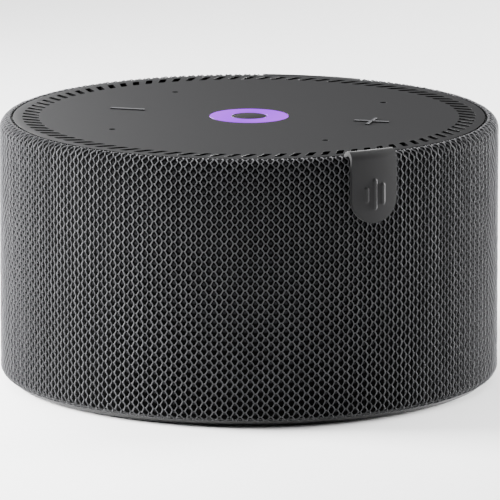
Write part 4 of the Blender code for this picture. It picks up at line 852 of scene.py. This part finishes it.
class HUB_OT_light(bpy.types.Operator):
    """Lit ring and the plain cap in its middle"""

    bl_idname = "hub.light"
    bl_label = "Lit ring"

    BEVEL = 0.12 * MM

    def execute(self, context):
        bevel = self.BEVEL
        outer = arc((LIGHT_RADIUS - bevel, TOP_SURFACE - bevel), bevel, 90, 0, 3)
        inner = arc((CENTRE_RADIUS + bevel, TOP_SURFACE - bevel), bevel, 180, 90, 3)
        low = CAP_LOW.z
        profile = [*outer, (LIGHT_RADIUS, low), (CENTRE_RADIUS, low), *inner]
        ring = turned("lit_ring", profile, 128)
        add_piece("lit_ring", ring, lit_guide(), "housing", "lit_guide", "light_ring")
        radius = CENTRE_RADIUS - FIT_GAP / 3
        edge = arc((radius - bevel, TOP_SURFACE - bevel), bevel, 90, 0, 3)
        profile = [(0.0, TOP_SURFACE), *edge, (radius, low), (0.0, low)]
        cap = turned("ring_cap", profile, 96, closed=False)
        add_piece("ring_cap", cap, touch_plastic(), "housing", "top_plastic", "centre_cap")
        return {"FINISHED"}


class HUB_OT_fabric(bpy.types.Operator):
    """Open net of knitted yarns over its dark backing cloth"""

    bl_idname = "hub.fabric"
    bl_label = "Fabric sleeve"

    SECTORS = 4
    POINTS_PER_ROW = 8
    COLUMNS = 334
    CORNER_STEPS = 8
    SIDE_STEPS = 24
    HEM_STEPS = 6
    CLOTH = 0.15 * MM
    DEPTH = 0.52 * MM  # from the outside of the yarns in to the backing
    RIM_FILL = 0.30 * MM  # the backing lies this much closer over the rim

    def execute(self, context):
        sizes = context.scene.hub_sizes
        sweep = 360.0 - 2 * REAR_GAP_ANGLE
        profile = sleeve_profile(sizes.yarn_radius)
        length = sum(math.dist(a, b) for a, b in zip(profile, profile[1:]))
        rows = round(length / sizes.row_height)
        pair_angle = math.radians(sweep) / sizes.pairs
        points = rows * self.POINTS_PER_ROW + 1
        yarn = yarn_polyester()
        tree = knit_tree(yarn)
        per_sector = sizes.pairs // self.SECTORS
        for number in range(self.SECTORS):
            line = mesh_from("strand", lambda bm: self.strand(bm, profile))
            guide = spare_object("strand", line)
            first = math.radians(90.0 + REAR_GAP_ANGLE) + pair_angle * (per_sector * number + 0.25)
            values = {
                "Pairs": per_sector,
                "First Angle": first,
                "Pair Angle": pair_angle,
                "Rows": rows,
                "Points": points,
                "Swing": sizes.swing / OUTER_RADIUS,
                "Stitch Reach": (OUTER_RADIUS * pair_angle - 2 * sizes.swing) / 4,
                "Yarn Radius": sizes.yarn_radius,
                "Wander": sizes.wander,
                "Notch Depth": TAG_REAR + TAG_THICKNESS,
                "Notch Half Width": TAG_WIDTH / 2,
            }
            run_tree(guide, tree, values)
            name = f"yarn_net_{number + 1}"
            mesh = evaluated_mesh(guide, name)
            add_piece(name, mesh, None, "housing", "knit_fabric")
        backing = self.backing(sizes, rows, pair_angle)
        return {"FINISHED"}

    def strand(self, bm, profile):
        """One meridian of the sleeve, from the hem up to the rim, that every yarn follows."""
        points = [bm.verts.new((r, 0.0, z)) for r, z in reversed(profile)]
        for pair in zip(points, points[1:]):
            bm.edges.new(pair)

    def backing(self, sizes, rows, pair_angle):
        """The dark cloth behind the net, one sheet with the tag's notch and the rear gap."""
        profile = [
            (r, z + self.RIM_FILL * max(z - RIM_CORNER, 0.0) / RIM_WIDTH)
            for r, z in sleeve_profile(self.DEPTH, self.CORNER_STEPS, self.HEM_STEPS, False)
        ]
        cut = self.CORNER_STEPS + 1
        top, bottom = Vector(profile[cut - 1]), Vector(profile[cut])
        steps = self.SIDE_STEPS
        side = [tuple(top.lerp(bottom, i / steps)) for i in range(1, steps)]
        profile = list(reversed(profile[:cut] + side + profile[cut:]))
        lengths = [0.0]
        for a, b in zip(profile, profile[1:]):
            lengths.append(lengths[-1] + math.dist(a, b))
        start = math.radians(90.0 + REAR_GAP_ANGLE)
        total = math.radians(360.0 - 2 * REAR_GAP_ANGLE)

        def build(bm):
            layer = bm.loops.layers.uv.new("Knit")
            grid = []
            for i in range(self.COLUMNS + 1):
                turn = start + total * i / self.COLUMNS
                grid.append([bm.verts.new((r * math.cos(turn), r * math.sin(turn), z)) for r, z in profile])
            for i in range(self.COLUMNS):
                for j in range(len(profile) - 1):
                    corners = ((i, j), (i + 1, j), (i + 1, j + 1), (i, j + 1))
                    face = bm.faces.new([grid[a][b] for a, b in corners])
                    for loop, (a, b) in zip(face.loops, corners):
                        across = total * a / self.COLUMNS / pair_angle - 0.25
                        loop[layer].uv = (across, lengths[b] / lengths[-1] * rows)
            notch = [face for face in bm.faces if self.in_notch(face.calc_center_median())]
            bmesh.ops.delete(bm, geom=notch, context="FACES")

        cloth = spare_object("backing", mesh_from("backing_cloth", build))
        wall = cloth.modifiers.new("Cloth", "SOLIDIFY")
        wall.thickness = self.CLOTH
        wall.offset = -1.0
        mesh = evaluated_mesh(cloth, "backing_cloth")
        finish_mesh(mesh, 60.0)
        return add_piece(
            "backing_cloth", mesh, backing_cloth(), "housing", "knit_fabric", "fabric_sleeve"
        )

    def in_notch(self, point):
        """Whether a point lies where the tag comes over the rim."""
        local = facing(TAG_ANGLE).inverted() @ point
        within = 0 < local.x < TAG_REAR + TAG_THICKNESS and abs(local.y) < TAG_WIDTH / 2
        return within and point.z > RIM_CORNER


class HUB_OT_tag(bpy.types.Operator):
    """Soft tag that comes over the rim and hangs down the side"""

    bl_idname = "hub.tag"
    bl_label = "Soft tag"

    ACROSS = 84
    EDGE_RADIUS = 0.28 * MM
    BAR_WIDTH = 0.85 * MM
    BAR_HEIGHTS = (2.9 * MM, 5.9 * MM, 4.1 * MM)
    BAR_SPACING = 1.75 * MM
    BAR_LEVEL = 8.4 * MM  # from the tag's top down to the middle of the bars
    BAR_FADE = 0.3 * MM
    FLEX = 2.4 * MM
    TAIL = 0.4 * MM  # how far the tag goes down into the seam below its bend
    BEND_STEPS = 30
    SIDE_STEPS = 56
    END_STEPS = 40

    def execute(self, context):
        middle = TAG_BEND - TAG_THICKNESS / 2
        centre = (TAG_REAR + TAG_BEND, TAG_TOP - TAG_BEND)
        half = TAG_WIDTH / 2
        low = TAG_TOP - TAG_LENGTH + half
        path = [(centre[0] - middle, centre[1] - self.TAIL)]
        path += arc(centre, middle, 180, 0, self.BEND_STEPS)
        fall = (centre[1] - low) / self.SIDE_STEPS
        path += [(centre[0] + middle, centre[1] - fall * i) for i in range(1, self.SIDE_STEPS + 1)]
        widths = [half] * len(path)
        for i in range(1, self.END_STEPS + 1):
            turn = math.radians(90.0 * i / self.END_STEPS)
            path.append((centre[0] + middle, low - half * math.sin(turn)))
            widths.append(max(half * math.cos(turn), 0.0))
        mesh = self.strip(path, widths)
        self.raise_bars(mesh, context.scene.hub_sizes.emboss)
        finish_mesh(mesh, 50.0)
        tag = add_piece("soft_tag", mesh, tag_silicone(), None, "tag_silicone", "tag_root", "tag_flap")
        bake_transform(tag)
        return {"FINISHED"}

    def strip(self, path, widths):
        """The tag's middle surface, thickened and with rounded edges."""
        turn = facing(TAG_ANGLE)

        def build(bm):
            rows = []
            for (radius, height), width in zip(path, widths):
                row = []
                for i in range(self.ACROSS + 1):
                    side = width * (2 * i / self.ACROSS - 1)
                    # The strip follows the round seam, so its sides lie further back.
                    inwards = math.sqrt(radius * radius - side * side)
                    row.append(bm.verts.new(turn @ Vector((inwards, side, height))))
                rows.append(row)
            for above, below in zip(rows, rows[1:]):
                for i in range(self.ACROSS):
                    bm.faces.new((above[i], below[i], below[i + 1], above[i + 1]))
            bmesh.ops.remove_doubles(bm, verts=bm.verts, dist=MM / 500)
            bmesh.ops.recalc_face_normals(bm, faces=bm.faces)

        sheet = spare_object("tag_sheet", mesh_from("tag_sheet", build))
        wall = sheet.modifiers.new("Thickness", "SOLIDIFY")
        wall.thickness = TAG_THICKNESS
        wall.offset = 0.0
        edge = sheet.modifiers.new("Soft edges", "BEVEL")
        edge.width = self.EDGE_RADIUS
        edge.segments = 4
        edge.angle_limit = math.radians(60)
        return evaluated_mesh(sheet, "soft_tag")

    def raise_bars(self, mesh, relief):
        """Raise three round-ended bars, like a sound level, from the tag's outside."""
        turn = facing(TAG_ANGLE)
        outwards = turn @ Vector((1, 0, 0))
        back = turn.inverted()
        level = TAG_TOP - self.BAR_LEVEL
        normals = [v.normal.copy() for v in mesh.vertices]
        for vertex, normal in zip(mesh.vertices, normals):
            # Only the outside face rises, not the rounded edges.
            if normal.dot(outwards) < 0.7:
                continue
            local = back @ vertex.co
            gap = min(
                self.bar_distance(local.y - (i - 1) * self.BAR_SPACING, local.z - level, tall)
                for i, tall in enumerate(self.BAR_HEIGHTS)
            )
            share = min(max(0.5 - gap / self.BAR_FADE, 0.0), 1.0)
            vertex.co += outwards * relief * share * share * (3 - 2 * share)

    def bar_distance(self, across, along, tall):
        """How far a point lies outside one upright bar with round ends."""
        reach = (tall - self.BAR_WIDTH) / 2
        end = max(abs(along) - reach, 0.0)
        return math.hypot(across, end) - self.BAR_WIDTH / 2


class HUB_OT_base(bpy.types.Operator):
    """Base cover and its soft foot"""

    bl_idname = "hub.base"
    bl_label = "Base and foot"

    TOP = 3.2 * MM
    STEP_HEIGHT = 1.3 * MM
    STEP_WIDTH = 0.9 * MM
    BEVEL = 0.5 * MM
    FOOT_EDGE = 0.4 * MM
    GROOVE_DEPTH = 0.25 * MM
    GROOVE_WIDTH = 0.8 * MM
    GROOVES = (0.92, 0.60, 0.28)  # their outer edges, as shares of the foot's radius

    def execute(self, context):
        radius = BASE_HIGH.x
        foot = FOOT_HIGH.x
        edge = arc((radius - self.BEVEL, BASE_LOW.z + self.BEVEL), self.BEVEL, 0, -90, 5)
        profile = [
            (0.0, self.TOP),
            (radius - self.STEP_WIDTH, self.TOP),
            (radius - self.STEP_WIDTH, self.TOP - self.STEP_HEIGHT),
            (radius, self.TOP - self.STEP_HEIGHT),
            *edge,
            (foot + FIT_GAP, BASE_LOW.z),
            (foot + FIT_GAP, FOOT_HIGH.z + FIT_GAP),
            (0.0, FOOT_HIGH.z + FIT_GAP),
        ]
        cover = turned("base_cover", profile, 192, closed=False)
        add_piece("base_cover", cover, black_plastic(), "housing", "black_plastic", "base_plate")
        self.add_foot(foot)
        return {"FINISHED"}

    def add_foot(self, foot):
        """A round silicone foot with shallow grooves that let air out from under it."""
        groove, width = self.GROOVE_DEPTH, self.GROOVE_WIDTH
        edge = arc((foot - self.FOOT_EDGE, self.FOOT_EDGE), self.FOOT_EDGE, 0, -90, 4)
        profile = [(0.0, FOOT_HIGH.z), (foot, FOOT_HIGH.z), *edge]
        for share in self.GROOVES:
            outer = foot * share
            profile += [
                (outer, 0.0),
                (outer - groove, groove),
                (outer - width, groove),
                (outer - width - groove, 0.0),
            ]
        profile.append((0.0, 0.0))
        mesh = turned("soft_foot", profile, 192, closed=False)
        add_piece("soft_foot", mesh, foot_silicone(), "housing", "soft_rubber", "foot_pad")


class HUB_OT_rear(bpy.types.Operator):
    """Smooth rear panel with the plug well and the button's opening"""

    bl_idname = "hub.rear"
    bl_label = "Rear panel"

    COLUMNS = 40
    EDGE = 0.25 * MM
    BOTTOM = 2.2 * MM
    HEM_STEP = 0.1 * MM

    def execute(self, context):
        outside = sleeve_profile(0.0, 12, 8, False)
        radius, level = outside[-1]
        radius -= self.HEM_STEP
        inside = [(radius, level), (radius, self.BOTTOM), (OUTER_RADIUS - RIM_WIDTH, self.BOTTOM)]
        panel = spare_object("rear_blank", mesh_from("rear_blank", self.sector(outside + inside)))
        edge = panel.modifiers.new("Soft edges", "BEVEL")
        edge.width = self.EDGE
        edge.segments = 3
        edge.angle_limit = math.radians(50)
        cutters = []
        for build, operation in ((self.collar, "UNION"), (self.openings, "DIFFERENCE")):
            tool = spare_object("rear_tool", mesh_from("rear_tool", build))
            cut = panel.modifiers.new(operation, "BOOLEAN")
            cut.operation = operation
            cut.solver = "EXACT"
            cut.object = tool
            cutters.append(tool)
        mesh = evaluated_mesh(panel, "rear_cover")
        for tool in cutters:
            bpy.data.objects.remove(tool)
        finish_mesh(mesh, 30.0)
        add_piece("rear_cover", mesh, touch_plastic(), "housing", "top_plastic", "rear_panel")
        return {"FINISHED"}

    def sector(self, profile):
        """A closed profile, swept across the panel's angle."""

        def build(bm):
            columns = []
            for i in range(self.COLUMNS + 1):
                angle = 180.0 - REAR_HALF_ANGLE + 2 * REAR_HALF_ANGLE * i / self.COLUMNS
                columns.append([bm.verts.new(around(r, angle, z)) for r, z in profile])
            count = len(profile)
            for left, right in zip(columns, columns[1:]):
                for j in range(count):
                    k = (j + 1) % count
                    bm.faces.new((left[j], left[k], right[k], right[j]))
            bm.faces.new(columns[0])
            bm.faces.new(columns[-1])
            bmesh.ops.recalc_face_normals(bm, faces=bm.faces)

        return build

    def rearward(self, level):
        """Stands an outline up at a level; its own Z then runs from the middle to the rear."""
        return Matrix.Translation((0, 0, level)) @ Matrix.Rotation(math.radians(-90), 4, "X")

    def collar(self, bm):
        """The box that surrounds the plug well, behind the panel."""
        wall = 2 * WELL_WALL
        outline = rounded_rectangle(WELL_WIDTH + wall, WELL_HEIGHT + wall, WELL_CORNER + WELL_WALL)
        floor = OUTER_RADIUS - WELL_DEPTH - WELL_WALL
        levels = [(floor, 0.0), (OUTER_RADIUS - RIM_WIDTH / 2, 0.0)]
        prism(bm, outline, levels, self.rearward(PORT_LEVEL))

    def openings(self, bm):
        """The plug well with its broken edge, the port's hole, and the button's hole."""
        face, floor = OUTER_RADIUS, OUTER_RADIUS - WELL_DEPTH
        outline = rounded_rectangle(WELL_WIDTH, WELL_HEIGHT, WELL_CORNER)
        flare = [(face - 0.5 * MM, 0.0), (face, 0.25 * MM), (face + MM, 1.25 * MM)]
        prism(bm, outline, [(floor, 0.0), *flare], self.rearward(PORT_LEVEL))
        width, height = PORT_HIGH.x - PORT_LOW.x, PORT_HIGH.z - PORT_LOW.z
        hole = rounded_rectangle(width + FIT_GAP, height + FIT_GAP, (height + FIT_GAP) / 2.01, 8)
        levels = [(floor - WELL_WALL - MM, 0.0), (floor + MM / 2, 0.0)]
        prism(bm, hole, levels, self.rearward(PORT_LEVEL))
        inner = OUTER_RADIUS - 2 * RIM_WIDTH
        levels = [(inner, 0.0), (face - 0.35 * MM, 0.0), (face + MM, 1.35 * MM)]
        prism(bm, circle(BUTTON_RADIUS + FIT_GAP, 72), levels, self.rearward(BUTTON_LEVEL))


class HUB_OT_button(bpy.types.Operator):
    """Mute button with its slightly hollow face"""

    bl_idname = "hub.button"
    bl_label = "Mute button"

    FLANGE = 1.0 * MM
    BEVEL = 0.35 * MM
    DISH_RADIUS = 20 * MM  # of the ball that would fill the hollow
    DISH_STEPS = 6

    def execute(self, context):
        low, high = BUTTON_LOW.y, BUTTON_HIGH.y
        rim = BUTTON_RADIUS - self.BEVEL
        spread = math.asin(rim / self.DISH_RADIUS)
        face = []
        for i in range(self.DISH_STEPS + 1):
            turn = spread * i / self.DISH_STEPS
            drop = self.DISH_RADIUS * (math.cos(turn) - math.cos(spread))
            face.append((self.DISH_RADIUS * math.sin(turn), high - drop))
        edge = arc((rim, high - self.BEVEL), self.BEVEL, 90, 0, 4)
        flange = (BUTTON_HIGH.x - BUTTON_LOW.x) / 2
        profile = [
            *face,
            *edge[1:],
            (BUTTON_RADIUS, low + self.FLANGE),
            (flange, low + self.FLANGE),
            (flange, low),
            (0.0, low),
        ]
        mesh = turned("mute_cap", profile, 96, closed=False)
        lay = Matrix.Rotation(-math.pi / 2, 4, "X")
        mesh.transform(Matrix.Translation((0, 0, BUTTON_LEVEL)) @ lay)
        add_piece("mute_cap", mesh, touch_plastic(), "mute_button", "top_plastic", "mute_button")
        return {"FINISHED"}


class HUB_OT_inside(bpy.types.Operator):
    """Finishes of the pieces that keep their frame shape"""

    bl_idname = "hub.inside"
    bl_label = "Inner pieces"

    def execute(self, context):
        slots = {part["node"]: part["material_slot"] for part in frame["record"]["subparts"]}
        made = {}
        for name, node in frame["nodes"].items():
            if node.hide_render:
                continue
            slot = slots[name]
            if slot not in made:
                made[slot] = inner_finish(slot)
            node.data.materials.clear()
            node.data.materials.append(made[slot])
        return {"FINISHED"}


class HUB_PT_panel(bpy.types.Panel):
    """Lists the hub's pieces in the sidebar"""

    bl_idname = "HUB_PT_panel"
    bl_label = "Smart Hub"
    bl_space_type = "VIEW_3D"
    bl_region_type = "UI"
    bl_category = "Hub"

    def draw(self, context):
        for group in (context.scene.hub_sizes, context.scene.hub_colours):
            for name in type(group).__annotations__:
                self.layout.prop(group, name)
        for piece in OPERATORS:
            self.layout.operator(piece.bl_idname)


OPERATORS = (
    HUB_OT_stage,
    HUB_OT_top,
    HUB_OT_light,
    HUB_OT_fabric,
    HUB_OT_tag,
    HUB_OT_base,
    HUB_OT_rear,
    HUB_OT_button,
    HUB_OT_inside,
)
CLASSES = (HubSizes, HubColours, *OPERATORS, HUB_PT_panel)


def register():
    for each in CLASSES:
        bpy.utils.register_class(each)
    bpy.types.Scene.hub_sizes = bpy.props.PointerProperty(type=HubSizes)
    bpy.types.Scene.hub_colours = bpy.props.PointerProperty(type=HubColours)


def unregister():
    del bpy.types.Scene.hub_colours
    del bpy.types.Scene.hub_sizes
    for each in reversed(CLASSES):
        bpy.utils.unregister_class(each)


def main():
    register()
    for operator in OPERATORS:
        group, name = operator.bl_idname.split(".")
        getattr(getattr(bpy.ops, group), name)()


if __name__ == "__main__":
    main()
